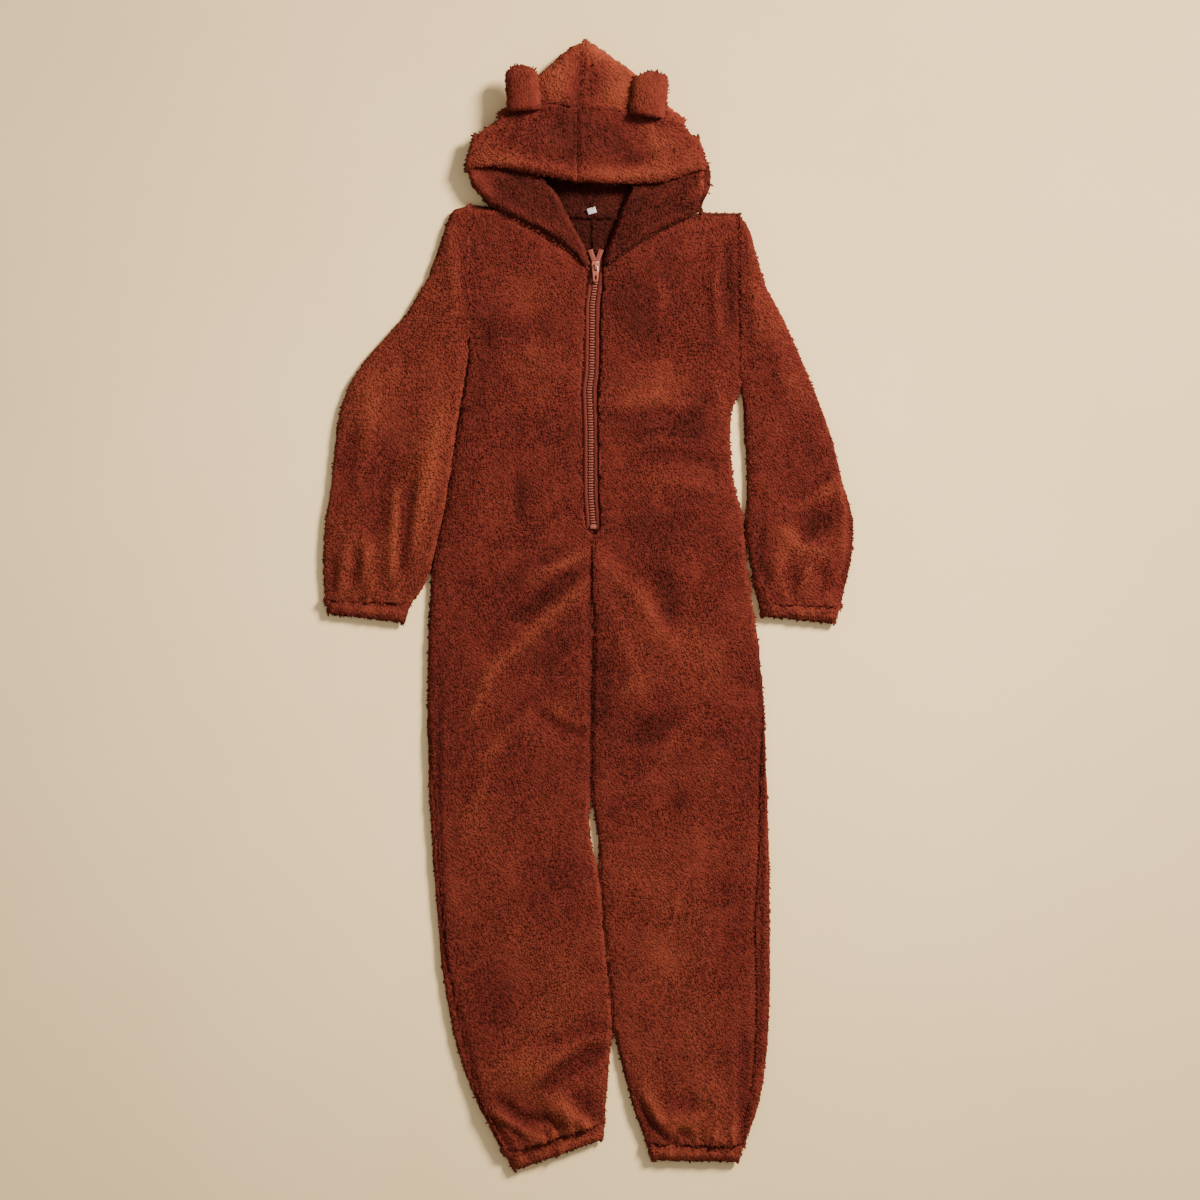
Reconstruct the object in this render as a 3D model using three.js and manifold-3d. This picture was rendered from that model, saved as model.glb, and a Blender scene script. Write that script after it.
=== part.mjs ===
// Hooded fleece onesie pajama with bear ears, laid flat on its back.
// Millimetres, +Z up off the surface, +Y towards the hood, +X towards the wearer's left side.
import * as THREE from 'three';
import * as BufferGeometryUtils from 'three/addons/utils/BufferGeometryUtils.js';
import Module from 'manifold-3d';

const wasm = await Module();
wasm.setup();

// Cloth: a knitted base with its teddy pile, as thick as it lies
const WALL = 5;
const LAYER_GAP = 1.6;
const FOLD = WALL + LAYER_GAP / 2;
const LAID = 2 * FOLD;
const SEAM = 0.3;
const QUARTER = Math.PI / 2;

// Zip: a chain of moulded teeth between two tapes, in the open edge of the fronts
const CHAIN_WIDTH = 6.6;
const CHAIN_THICK = 2;
const TAPE_THICK = 1;
const TAPE_WIDTH = 15;
const PLACKET = 9.5;
const ZIP_TOP = 416;
const ZIP_BOTTOM = 99;
const TAPE_LEVEL = WALL + SEAM;
const CHAIN_LEVEL = TAPE_LEVEL + TAPE_THICK + SEAM;

// Slider and pull tab
const SLIDER = { x: 9, y: 424, width: 10, length: 14, plate: 1.5, flange: 1.2 };
const BRIDGE = { length: 8, height: 3.2, width: 2, leg: 1.4, roof: 1.1 };
const TAB = { width: 8.4, length: 19, thick: 1.2, eye: 3.4, bar: 1.2, lift: 1.1 };

// Hood: its brow lies over the cheeks, which lie over the fronts
const CHEEK_BASE = LAID + 0.4;
const CHEEK_TOP = CHEEK_BASE + WALL;
const CHEEK_ROLL = (CHEEK_TOP - (WALL + LAYER_GAP)) / 2;
const HOOD_TOP = 24.5;
const CROWN_FOLD = HOOD_TOP / 2;
const BROW_FOLD = (HOOD_TOP - CHEEK_BASE) / 2;
const RIM_FOLD = 5.3;

const CROTCH = 0;
const UNDERARM_EASE = 26;
const BAND_DROP = SEAM;

const table = (names, rows) => rows.map((row) =>
  Object.fromEntries(names.split(' ').map((name, index) => [name, row[index]])));

// Middle line of the fronts, from the zip's slider to the crotch
const MIDDLE_LINE = table('y x', [
  [500, 9], [408, 9], [378, 5], [293, 4], [271, 1], [221, 3], [139, 3], [100, 6], [6, 7],
]);

// Each half of the body: armhole and side edge, then the outside of the leg
const SIDE_EDGE = {
  right: table('y x', [
    [503, -147.7], [332, -147.7], [308, -148.5], [258, -156], [184, -168], [119, -178], [61, -192],
    [6, -199], [-66, -201], [-217, -202], [-317, -196], [-462, -184], [-518, -174], [-567, -162],
    [-609, -146], [-648, -126], [-684, -107],
  ]),
  left: table('y x', [
    [492, 188.5], [291, 191.7], [266, 187], [239, 178], [218, 176],
    [167, 179], [119, 191], [57, 196], [2, 204], [-42, 213], [-161, 223], [-317, 228], [-478, 229],
    [-543, 226], [-593, 221], [-636, 211], [-673, 196],
  ]),
};

// Inside edge of each leg, from the crotch down
const LEG_EDGE = {
  right: table('y x', [
    [6, 6.4], [-49, 7], [-129, 2.4], [-238, 1.4], [-259, 0.6], [-292, 3], [-323, 12], [-397, 17.5],
    [-504, 27.5], [-541, 30.5], [-569, 27], [-609, 23], [-644, 21],
  ]),
  left: table('y x', [
    [6, 7.6], [-49, 8.2], [-129, 3.6], [-238, 3], [-259, 7], [-292, 12], [-323, 14], [-397, 19.5],
    [-504, 29.5], [-541, 32.5], [-563, 38], [-599, 48], [-632, 57], [-671, 72],
  ]),
};

// How far the back wraps on to the front of the leg, up to the side seam
const WRAP = {
  right: table('y wide', [[-160, 0], [-217, 11], [-381, 9], [-462, 15], [-560, 15], [-609, 7], [-684, 5]]),
  left: table('y wide', [[-60, 0], [-217, 9], [-317, 14], [-381, 20], [-478, 18], [-543, 16], [-636, 12], [-673, 4]]),
};

// Shoulder seam: armhole end and neck end
const SHOULDER = {
  right: { armhole: [-147.7, 503], neck: [-114, 498], underarm: 332 },
  left: { armhole: [188.5, 492], neck: [140, 493], underarm: 291 },
};

// Front neckline, from the shoulder to the top of the zip
const NECKLINE = {
  right: table('x y', [[-86, 481], [-54, 463], [-29, 447], [-8, 431], [-0.5, 423]]),
  left: table('x y', [[102, 481], [76, 463], [52, 447], [28, 431], [18.5, 423]]),
};

// Back neckline, from the shoulder to the middle of the back
const BACK_NECK = {
  right: table('x y', [[-114, 498], [-60, 490], [6, 484]]),
  left: table('x y', [[140, 493], [72, 486], [6, 484]]),
};

// Levels at which the body is cut into sections, below the neck
const STATIONS = [
  400, 366, 332, 319, 306, 291, 278, 265, 240, 200, 160, 119, 101, 90, 50, 6, -14, -34, -88, -150, -217,
  -259, -292, -340, -397, -460, -525, -575, -605, -625, -644,
];
// The outer end of the right leg's last sections drops by this much, the left leg's sections by another
const ANKLE = {
  right: { from: -592, to: -644, drop: 40 },
  left: { from: -592, to: -644, drop: 29, innerDrop: 27 },
};

// Sleeves as they lie: outer fold and underarm fold at each section, from the armhole to the wrist
const SLEEVES = {
  right: table('outerX outerY innerX innerY', [
    [-148, 503, -148, 332], [-171, 498, -149.5, 324], [-181, 467, -151.5, 312], [-199, 416, -154, 296],
    [-226, 369, -157.5, 273], [-263, 329, -161.5, 249], [-298, 286, -166.5, 217], [-313, 243, -171, 184],
    [-318, 203, -176, 152], [-324, 148, -181, 119], [-332, 93, -189, 86], [-333, 58, -196, 56],
    [-333, 36, -201, 34], [-332, 20, -209, 18], [-331, 8, -221, 4],
  ]),
  left: table('outerX outerY innerX innerY', [
    [189, 491, 192, 288], [202, 473, 192.3, 281], [208, 446, 192.6, 271], [221, 401, 192.6, 258],
    [246, 358, 193, 240], [268, 308, 193.5, 216], [289, 258, 196, 188], [307, 208, 197, 158],
    [318, 158, 196.5, 129], [333, 112, 196.5, 98], [332, 73, 200, 69], [327, 43, 204, 41],
    [323, 24, 207, 22], [320, 10, 210, 10], [317, 0, 213, 2],
  ]),
};

// Wrist and ankle bands: the two ends of the top edge are those of the last section above
const BANDS = {
  wrist_band_right: { outer: [-330, -11], inner: [-229, -23], waves: 9 },
  wrist_band_left: { outer: [312, -24], inner: [213, -14], waves: 9 },
  ankle_band_right: { outer: [-95, -708], inner: [20, -667], waves: 11 },
  ankle_band_left: { outer: [191, -696], inner: [77, -694], waves: 11 },
};
const BAND_RISE = 2.5;
const GATHER_HEIGHT = 3.2;

// Soft ridges and troughs of the laid cloth: a line, how wide it is across, how high
const FOLDS = table('x0 y0 x1 y1 wide high', [
  [6, 62, -98, 32, 13, 3.0],
  [2, 52, -140, -108, 16, 3.4],
  [-6, 34, -168, -190, 13, -1.6],
  [-76, -140, -162, -250, 18, 2.6],
  [16, 66, 116, 50, 12, 2.6],
  [24, -12, 118, -58, 15, 2.8],
  [30, 60, 150, 20, 16, 1.6],
  [60, 246, 168, 226, 12, 2.0],
  [70, 196, 172, 186, 13, 2.2],
  [64, 150, 176, 130, 14, 2.0],
  [163, 452, 163, 326, 7, 3.0],
  [-40, 400, -60, 250, 24, 1.8],
  [70, 420, 84, 300, 24, 1.8],
  [-60, 180, -50, 60, 30, 1.8],
  [90, -120, 130, -300, 30, 2.2],
  [-90, -300, -100, -480, 34, 2.4],
  [130, -380, 120, -540, 34, 2.4],
  [-20, -520, -60, -600, 24, 3.0],
  [-126, -634, -62, -664, 12, 4.0],
  [-46, -618, -20, -640, 14, 3.6],
  [60, -590, 84, -650, 14, 3.0],
  [150, -600, 168, -656, 14, 3.0],
]);
const SLEEVE_FOLDS = table('x0 y0 x1 y1 wide high', [
  [-204, 276, -226, 70, 15, 4.0],
  [-236, 250, -252, 60, 12, -1.4],
  [-180, 440, -176, 340, 14, 2.4],
  [-280, 250, -300, 90, 24, 2.2],
  [232, 330, 262, 170, 20, 2.8],
  [290, 200, 306, 90, 18, 2.6],
  [222, 150, 236, 60, 18, 2.6],
  [206, 440, 216, 350, 12, 2.0],
]);

// Crown: seam to the brow, outline of the hood, and the neck under it, from the side to the middle
const CROWN = {
  right: table('seamX seamY topX topY bulge', [
    [-111, 606, -119, 616, 30], [-97, 612, -102, 625, 22], [-82, 619, -84, 645, 14], [-66, 624, -62, 664, 8],
    [-49, 627, -46, 679, 4], [-35, 626, -30, 694, 2], [-22, 623.5, -15, 704, 0], [-8.2, 621, -3.2, 709, 0],
  ]),
  left: table('seamX seamY topX topY bulge', [
    [119, 597, 127, 608, 26], [101, 603, 108, 620, 18], [88, 609, 92, 634, 12], [72, 612.5, 72, 654, 7],
    [54, 615.5, 54, 670, 3], [34, 618, 33, 685, 1], [13, 619.5, 14, 699, 0], [-7.8, 621, -2.8, 709, 0],
  ]),
};

// Brow: seam to the crown and turned edge, from the middle to the side
const BROW = {
  right: table('seamX seamY rimX rimY', [
    [-14.2, 621, -14.2, 529], [-22, 623.2, -30, 530], [-35, 625.7, -46, 533], [-49, 626.7, -62, 537],
    [-66, 623.7, -80, 541], [-82, 618.7, -97, 544], [-97, 611.7, -113, 547], [-111, 605.7, -130, 547],
    [-127, 602, -144, 545], [-139, 591, -152, 540],
  ]),
  left: table('seamX seamY rimX rimY', [
    [-13.8, 621, -13.8, 529], [13, 619.2, 14, 526], [34, 617.7, 36, 526], [54, 615.2, 58, 526],
    [72, 612.2, 79, 527], [88, 608.7, 98, 529], [101, 602.7, 113, 533], [119, 596.7, 128, 540],
    [128, 594, 138, 543], [134, 589, 145, 541],
  ]),
};

// Cheeks: outer rim, roll line beside the face, and the seam to the neckline, from the hood's side to the zip
const CHEEKS = {
  right: table('rimX rimY rollX rollY neckX neckY', [
    [-150.8, 537.5, -122, 588, -126, 580], [-147, 526, -104, 574, -118, 556], [-138, 513, -84, 558, -114, 530],
    [-128, 505, -66, 543, -112, 500], [-103, 494, -45, 523, -86, 481.3], [-71, 477, -31, 498, -54, 463.3],
    [-42, 463, -17, 471, -29, 447.3], [-14, 441, -1.5, 443, -8, 431.3], [-5, 425, 1.2, 427.5, -0.5, 423.3],
  ]),
  left: table('rimX rimY rollX rollY neckX neckY', [
    [143.8, 540.5, 118, 584, 122, 576], [146, 521, 100, 568, 112, 548], [142, 507, 80, 550, 112, 524],
    [133, 491, 62, 534, 124, 493], [108, 480, 45, 507, 102, 481.3], [87, 470, 37, 483, 76, 463.3],
    [62, 455, 30, 462, 52, 447.3], [35, 437, 20, 440, 28, 431.3], [24, 424.5, 16.6, 428, 18.5, 423.3],
  ]),
};

const EARS = {
  ear_right: { base: [-80, 622], tip: [-84, 681], wide: 40, foot: 42, high: 13 },
  ear_left: { base: [72, 616], tip: [80, 674], wide: 42, foot: 42, high: 13 },
};

const LABEL = { x: 6, y: 488.6, width: 12, length: 9, thick: 0.6 };

const fleece = (colour) => new THREE.MeshStandardMaterial({ color: colour, roughness: 1, metalness: 0 });
const FLEECE = 0x84301f;
const FLEECE_DARK = 0x6f2519;
const FLEECE_LIGHT = 0x93381f;
const TAPE_COLOUR = 0x7d3022;
const ZIP_COLOUR = 0xb06a58;
const LABEL_COLOUR = 0xe9e4de;

const clamp = (value) => Math.min(1, Math.max(0, value));
const ease = (value) => clamp(value) ** 2 * (3 - 2 * clamp(value));
const mix = (a, b, share) => a + (b - a) * share;

/** Straight run between the rows of a table, by the value of one column. */
function along(rows, key, column, at) {
  const rising = rows[0][key] < rows[rows.length - 1][key];
  const order = rising ? rows : [...rows].reverse();
  if (at <= order[0][key]) return order[0][column];
  for (let i = 1; i < order.length; i += 1) {
    if (at <= order[i][key]) {
      const share = (at - order[i - 1][key]) / (order[i][key] - order[i - 1][key]);
      return mix(order[i - 1][column], order[i][column], share);
    }
  }
  return order[order.length - 1][column];
}

/** Height of the soft ridges at a place on the upper side. */
function raised(folds, x, y) {
  let height = 0;
  for (const fold of folds) {
    const dx = fold.x1 - fold.x0;
    const dy = fold.y1 - fold.y0;
    const length = Math.hypot(dx, dy);
    const share = ((x - fold.x0) * dx + (y - fold.y0) * dy) / length ** 2;
    const past = Math.max(0, -share, share - 1) * length;
    const across = Math.abs((x - fold.x0) * dy - (y - fold.y0) * dx) / length;
    const reach = Math.hypot(across, past) / fold.wide;
    height += fold.high * Math.exp(-reach * reach);
  }
  return height;
}

/** Closed wall between two grids of points, with the same rows and columns. */
function wall(name, outer, inner, material) {
  const rows = outer.length;
  const columns = outer[0].length;
  const positions = [];
  for (const grid of [outer, inner]) {
    for (const row of grid) row.forEach((point) => positions.push(...point));
  }
  const at = (side, row, column) => (side * rows + row) * columns + column;
  const faces = [];
  const quad = (a, b, c, d) => faces.push(a, b, c, a, c, d);
  for (let i = 0; i < rows - 1; i += 1) {
    for (let j = 0; j < columns - 1; j += 1) {
      quad(at(0, i, j), at(0, i + 1, j), at(0, i + 1, j + 1), at(0, i, j + 1));
      quad(at(1, i, j), at(1, i, j + 1), at(1, i + 1, j + 1), at(1, i + 1, j));
    }
  }
  for (let j = 0; j < columns - 1; j += 1) {
    quad(at(0, 0, j), at(0, 0, j + 1), at(1, 0, j + 1), at(1, 0, j));
    quad(at(0, rows - 1, j), at(1, rows - 1, j), at(1, rows - 1, j + 1), at(0, rows - 1, j + 1));
  }
  for (let i = 0; i < rows - 1; i += 1) {
    quad(at(0, i, 0), at(1, i, 0), at(1, i + 1, 0), at(0, i + 1, 0));
    quad(at(0, i, columns - 1), at(0, i + 1, columns - 1), at(1, i + 1, columns - 1), at(1, i, columns - 1));
  }
  const mesh = new THREE.Mesh(facesOutward(positions, faces), material);
  mesh.name = name;
  return mesh;
}

/** Geometry from positions and faces, turned so that its faces point out of the closed body. */
function facesOutward(positions, faces) {
  let volume = 0;
  const [a, b, c] = [new THREE.Vector3(), new THREE.Vector3(), new THREE.Vector3()];
  for (let i = 0; i < faces.length; i += 3) {
    a.fromArray(positions, 3 * faces[i]);
    b.fromArray(positions, 3 * faces[i + 1]);
    c.fromArray(positions, 3 * faces[i + 2]);
    volume += a.dot(b.cross(c));
  }
  const turned = volume < 0 ? faces.map((_, i) => faces[i + [0, 1, -1][i % 3]]) : faces;
  const geometry = new THREE.BufferGeometry();
  geometry.setAttribute('position', new THREE.Float32BufferAttribute(positions, 3));
  geometry.setIndex(turned);
  geometry.computeVertexNormals();
  return geometry;
}

/**
 * One section of two layers that lie on each other, cut from the inner to the outer end of a line.
 * place(reach) gives the outer and inner point of the wall. The reach runs round the section: above 0 on
 * top, 0 at the middle of the outer fold, below 0 underneath, and the span at either inner end.
 */
function laidSection({ inner, outer, innerRoll, outerRoll, lift = 0, folds = [], flow = () => 0 }) {
  const length = Math.hypot(outer[0] - inner[0], outer[1] - inner[1]);
  const way = [(outer[0] - inner[0]) / length, (outer[1] - inner[1]) / length];
  const inset = FOLD * Math.sin(innerRoll);
  const outset = length - FOLD * Math.sin(outerRoll);
  const flat = outset - inset;
  const span = FOLD * outerRoll + flat + FOLD * innerRoll;
  const place = (reach, shift = 0) => {
    const side = reach >= 0 ? 1 : -1;
    const run = Math.abs(reach);
    let centre;
    let lean;
    if (run <= FOLD * outerRoll) {
      lean = outerRoll - run / FOLD;
      centre = outset;
    } else if (run <= FOLD * outerRoll + flat) {
      lean = 0;
      centre = outset - (run - FOLD * outerRoll);
    } else {
      lean = -(run - FOLD * outerRoll - flat) / FOLD;
      centre = inset;
    }
    const point = (radius, rise) => {
      const across = centre + (radius + rise) * Math.sin(lean) + shift * Math.cos(lean) * side;
      const up = side * ((radius + rise) * Math.cos(lean) - shift * Math.sin(lean) * side);
      const level = FOLD + (lift ? Math.sign(side) * Math.max(SEAM / 2, Math.abs(up) * Math.cos(lift)) : up);
      const x = inner[0] + way[0] * across;
      const y = inner[1] + way[1] * across;
      return [x, y + radius * Math.sin(lift), level];
    };
    const base = point(FOLD, 0);
    const rise = side > 0 && !lift ? (raised(folds, base[0], base[1]) + flow(base[0], base[1], run / span))
      * Math.max(0, Math.cos(lean)) : 0;
    return [point(FOLD, Math.max(rise, -WALL / 3)), point(FOLD - WALL, 0)];
  };
  return { place, span, flat, topRun: FOLD * outerRoll };
}

/** Even steps from one value to another, both ends included. */
const steps = (from, to, count) => Array.from({ length: count + 1 }, (_, i) => mix(from, to, i / count));

/** The middle line or the inside of the leg, at a level. */
function innerEdge(side, y) {
  const toward = side === 'left' ? 1 : -1;
  if (y <= 6) return along(LEG_EDGE[side], 'y', 'x', y);
  const middle = along(MIDDLE_LINE, 'y', 'x', y);
  const open = PLACKET * ease((y - 88) / 13);
  return middle + toward * (SEAM / 2 + open);
}

const tube = (side, y) => ease((CROTCH + 8 - y) / 40) * QUARTER;

/** The section of one half of the body at a level. */
function bodySection(side, y, inner) {
  const ankle = ANKLE[side];
  const drop = ease((ankle.from - y) / (ankle.from - ankle.to));
  const innerY = y - (ankle.innerDrop ?? 0) * drop;
  const outerY = y - ankle.drop * drop;
  const innerX = inner ?? innerEdge(side, innerY);
  const outerX = along(SIDE_EDGE[side], 'y', 'x', outerY);
  const underarm = SHOULDER[side].underarm;
  const gather = ease((-560 - y) / 70) * GATHER_HEIGHT;
  return laidSection({
    inner: [innerX, innerY],
    outer: [outerX, outerY],
    innerRoll: tube(side, y),
    outerRoll: ease((underarm - y) / UNDERARM_EASE) * QUARTER,
    folds: FOLDS,
    flow: (x, z, share) => gather * (0.5 + 0.5 * Math.cos(share * Math.PI * 12)),
  });
}

/** Sections of the shoulder, where front and back turn towards each other, and of the neck below it. */
function shoulderSections(side, neckRows) {
  const { armhole, neck } = SHOULDER[side];
  const lifted = [QUARTER, QUARTER * 0.6, QUARTER * 0.25].map((lift) => laidSection({
    inner: [neck[0], neck[1] - FOLD],
    outer: [armhole[0], armhole[1] - FOLD],
    innerRoll: 0,
    outerRoll: 0,
    lift,
    folds: FOLDS,
  }));
  return [...lifted, ...neckRows.map((row) => bodySection(side, row.y, row.x))];
}

/** Points of the wall at each reach of each section, the ends drawn in to leave the seams. */
function panelGrids(sections, reaches) {
  const outer = [];
  const inner = [];
  for (const section of sections) {
    const row = reaches(section);
    const points = row.map((reach, i) => {
      const shift = i === 0 ? SEAM / 2 : (i === row.length - 1 ? -SEAM / 2 : 0);
      return section.place(reach, shift);
    });
    outer.push(points.map((pair) => pair[0]));
    inner.push(points.map((pair) => pair[1]));
  }
  return [outer, inner];
}

/** Reach of the side seam, counted from the middle of the fold. */
const seamReach = (side, y) => {
  const wide = along(WRAP[side], 'y', 'wide', y);
  return wide > 0 ? wide + (FOLD * QUARTER - FOLD) * clamp(wide / 8) : 0;
};

const FRONT_STEPS = { roll: 2, flat: 12, side: 2 };
const BACK_STEPS = { strip: 1, fold: 4, flat: 3, roll: 2 };
const LEAST_END = 4;

function frontPanel(side) {
  const neck = NECKLINE[side];
  const levels = [...neck.map((row) => row.y), ...STATIONS];
  const sections = [
    ...shoulderSections(side, neck),
    ...STATIONS.map((y) => bodySection(side, y)),
  ];
  const [outer, inner] = panelGrids(sections, (section) => {
    const index = sections.indexOf(section) - 3;
    const seam = index < 0 ? 0 : seamReach(side, levels[index]);
    const bend = Math.max(section.topRun, seam + LEAST_END);
    const roll = Math.min(section.topRun + section.flat, section.span - LEAST_END);
    return [
      ...steps(section.span, roll, FRONT_STEPS.roll).slice(0, -1),
      ...steps(roll, bend, FRONT_STEPS.flat).slice(0, -1),
      ...steps(bend, seam, FRONT_STEPS.side),
    ];
  });
  return wall(`front_${side}`, outer, inner, fleece(FLEECE));
}

function backPanel(side) {
  const neck = BACK_NECK[side].slice(1);
  const lower = [463, 423];
  const levels = [...neck.map((row) => row.y), ...lower, ...STATIONS];
  const sections = [
    ...shoulderSections(side, neck.map((row, i) => (i === neck.length - 1
      ? { y: row.y, x: row.x + (side === 'left' ? SEAM / 2 : -SEAM / 2) } : row))),
    ...lower.map((y) => bodySection(side, y, 6 + (side === 'left' ? SEAM / 2 : -SEAM / 2))),
    ...STATIONS.map((y) => bodySection(side, y, y > 90
      ? 6 + (side === 'left' ? SEAM / 2 : -SEAM / 2) : undefined)),
  ];
  const [outer, inner] = panelGrids(sections, (section) => {
    const index = sections.indexOf(section) - 3;
    const seam = index < 0 ? 0 : seamReach(side, levels[index]);
    const bend = Math.min(section.topRun, seam - LEAST_END / 2);
    const under = -Math.max(section.topRun, 2 * LEAST_END);
    const roll = -Math.min(section.topRun + section.flat, section.span - LEAST_END);
    return [
      ...steps(seam, bend, BACK_STEPS.strip).slice(0, -1),
      ...steps(bend, under, BACK_STEPS.fold).slice(0, -1),
      ...steps(under, roll, BACK_STEPS.flat).slice(0, -1),
      ...steps(roll, -section.span, BACK_STEPS.roll),
    ];
  });
  return wall(`back_${side}`, outer, inner, fleece(FLEECE_DARK));
}

const TUBE_STEPS = { roll: 2, flat: 12, fold: 4, under: 3 };

/** Reaches all round a tube, from the seam in its inner fold over the top and back underneath. */
function roundTube(section, flatSteps = TUBE_STEPS.flat) {
  const top = section.topRun + section.flat;
  return [
    ...steps(section.span, top, TUBE_STEPS.roll).slice(0, -1),
    ...steps(top, section.topRun, flatSteps).slice(0, -1),
    ...steps(section.topRun, -section.topRun, TUBE_STEPS.fold).slice(0, -1),
    ...steps(-section.topRun, -top, TUBE_STEPS.under).slice(0, -1),
    ...steps(-top, -section.span, TUBE_STEPS.roll),
  ];
}

function sleeve(side) {
  const rows = SLEEVES[side];
  const sections = rows.map((row, i) => {
    const gather = ease((i - rows.length + 6) / 5) * GATHER_HEIGHT;
    return laidSection({
      inner: [row.innerX, row.innerY],
      outer: [row.outerX, row.outerY],
      innerRoll: QUARTER,
      outerRoll: QUARTER,
      folds: SLEEVE_FOLDS,
      flow: (x, y, share) => gather * (0.5 + 0.5 * Math.cos(share * Math.PI * 12)),
    });
  });
  const [outer, inner] = panelGrids(sections, (section) => roundTube(section));
  return wall(`sleeve_${side}`, outer, inner, fleece(FLEECE_LIGHT));
}

/** Gathered elastic band from the last section of a sleeve or leg to its own lower edge. */
function band(name, from) {
  const { outer: outerEnd, inner: innerEnd, waves } = BANDS[name];
  const shares = [0, 0.3, 0.7, 1];
  const sections = shares.map((share) => laidSection({
    inner: [mix(from.inner[0], innerEnd[0], share), mix(from.inner[1] - BAND_DROP, innerEnd[1], share)],
    outer: [mix(from.outer[0], outerEnd[0], share), mix(from.outer[1] - BAND_DROP, outerEnd[1], share)],
    innerRoll: QUARTER,
    outerRoll: QUARTER,
    flow: (x, y, run) => BAND_RISE * Math.sin(Math.PI * mix(0.12, 0.88, share))
      * (0.6 + 0.4 * Math.cos(run * Math.PI * 2 * waves)),
  }));
  const [outer, inner] = panelGrids(sections, (section) => roundTube(section, 2 * waves));
  return wall(name, outer, inner, fleece(FLEECE_DARK));
}

/** Half of the crown: from the brow seam over the top fold and down behind to the back neckline. */
function crown(side) {
  const rows = CROWN[side];
  const neck = BACK_NECK[side];
  const outer = [];
  const inner = [];
  rows.forEach((row, i) => {
    const neckX = mix(neck[0].x, neck[neck.length - 1].x + (side === 'left' ? SEAM / 2 : -SEAM / 2),
      i / (rows.length - 1));
    const neckY = along(neck, 'x', 'y', neckX) + SEAM;
    const away = new THREE.Vector2(row.topX - row.seamX, row.topY - row.seamY).normalize();
    const turn = [row.topX - away.x * CROWN_FOLD, row.topY - away.y * CROWN_FOLD];
    const outwards = side === 'left' ? 1 : -1;
    const rowOuter = [];
    const rowInner = [];
    const push = (x, y, height, normal) => {
      rowOuter.push([x, y, height]);
      rowInner.push([x - normal[0] * WALL, y - normal[1] * WALL, height - normal[2] * WALL]);
    };
    const topRise = (x, y) => 2 * Math.exp(-((x + 4) ** 2) / 1800) * Math.sin(clamp((y - 600) / 110) * Math.PI);
    for (const share of steps(0, 1, 3).slice(0, -1)) {
      const x = mix(row.seamX, turn[0], share);
      const y = mix(row.seamY, turn[1], share);
      rowOuter.push([x, y, HOOD_TOP + topRise(x, y)]);
      rowInner.push([x, y, HOOD_TOP - WALL]);
    }
    for (const angle of steps(0, Math.PI, 6)) {
      const normal = [away.x * Math.sin(angle), away.y * Math.sin(angle), Math.cos(angle)];
      push(turn[0] + CROWN_FOLD * normal[0], turn[1] + CROWN_FOLD * normal[1],
        CROWN_FOLD + CROWN_FOLD * normal[2], normal);
    }
    for (const share of steps(0, 1, 4).slice(1)) {
      const bulge = outwards * row.bulge * 4 * share * (1 - share);
      push(mix(turn[0], neckX, share) + bulge, mix(turn[1], neckY, share), 0, [0, 0, -1]);
    }
    outer.push(rowOuter);
    inner.push(rowInner);
  });
  return wall(`hood_crown_${side}`, outer, inner, fleece(FLEECE_LIGHT));
}

/** Half of the brow: from the middle over the face to the side of the hood, and round under it. */
function brow(side) {
  const rows = BROW[side];
  const last = rows[rows.length - 1];
  const frames = rows.map((row) => ({
    seam: [row.seamX, row.seamY, HOOD_TOP], rim: [row.rimX, row.rimY, HOOD_TOP], normal: [0, 0, 1],
  }));
  const line = new THREE.Vector2(last.seamX - last.rimX, last.seamY - last.rimY).normalize();
  const away = side === 'left' ? [line.y, -line.x] : [-line.y, line.x];
  for (const angle of steps(0, Math.PI, 6).slice(1)) {
    const normal = [away[0] * Math.sin(angle), away[1] * Math.sin(angle), Math.cos(angle)];
    const shifted = (x, y) => [x + BROW_FOLD * normal[0], y + BROW_FOLD * normal[1],
      HOOD_TOP - BROW_FOLD + BROW_FOLD * normal[2]];
    frames.push({ seam: shifted(last.seamX, last.seamY), rim: shifted(last.rimX, last.rimY), normal });
  }
  const outer = [];
  const inner = [];
  for (const frame of frames) {
    const seam = new THREE.Vector3(...frame.seam);
    const rim = new THREE.Vector3(...frame.rim);
    const normal = new THREE.Vector3(...frame.normal);
    const way = rim.clone().sub(seam).normalize();
    const bend = rim.clone().addScaledVector(way, -RIM_FOLD);
    const rowOuter = [];
    const rowInner = [];
    for (const share of steps(0, 1, 5).slice(0, -1)) {
      const point = seam.clone().lerp(bend, share);
      rowOuter.push(point.toArray());
      rowInner.push(point.addScaledVector(normal, -WALL).toArray());
    }
    const centre = bend.clone().addScaledVector(normal, -RIM_FOLD);
    for (const angle of steps(0, QUARTER, 3)) {
      const spoke = way.clone().multiplyScalar(Math.sin(angle)).addScaledVector(normal, Math.cos(angle));
      rowOuter.push(centre.clone().addScaledVector(spoke, RIM_FOLD).toArray());
      rowInner.push(centre.clone().addScaledVector(spoke, RIM_FOLD - WALL).toArray());
    }
    outer.push(rowOuter);
    inner.push(rowInner);
  }
  return wall(`hood_brow_${side}`, outer, inner, fleece(FLEECE));
}

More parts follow.
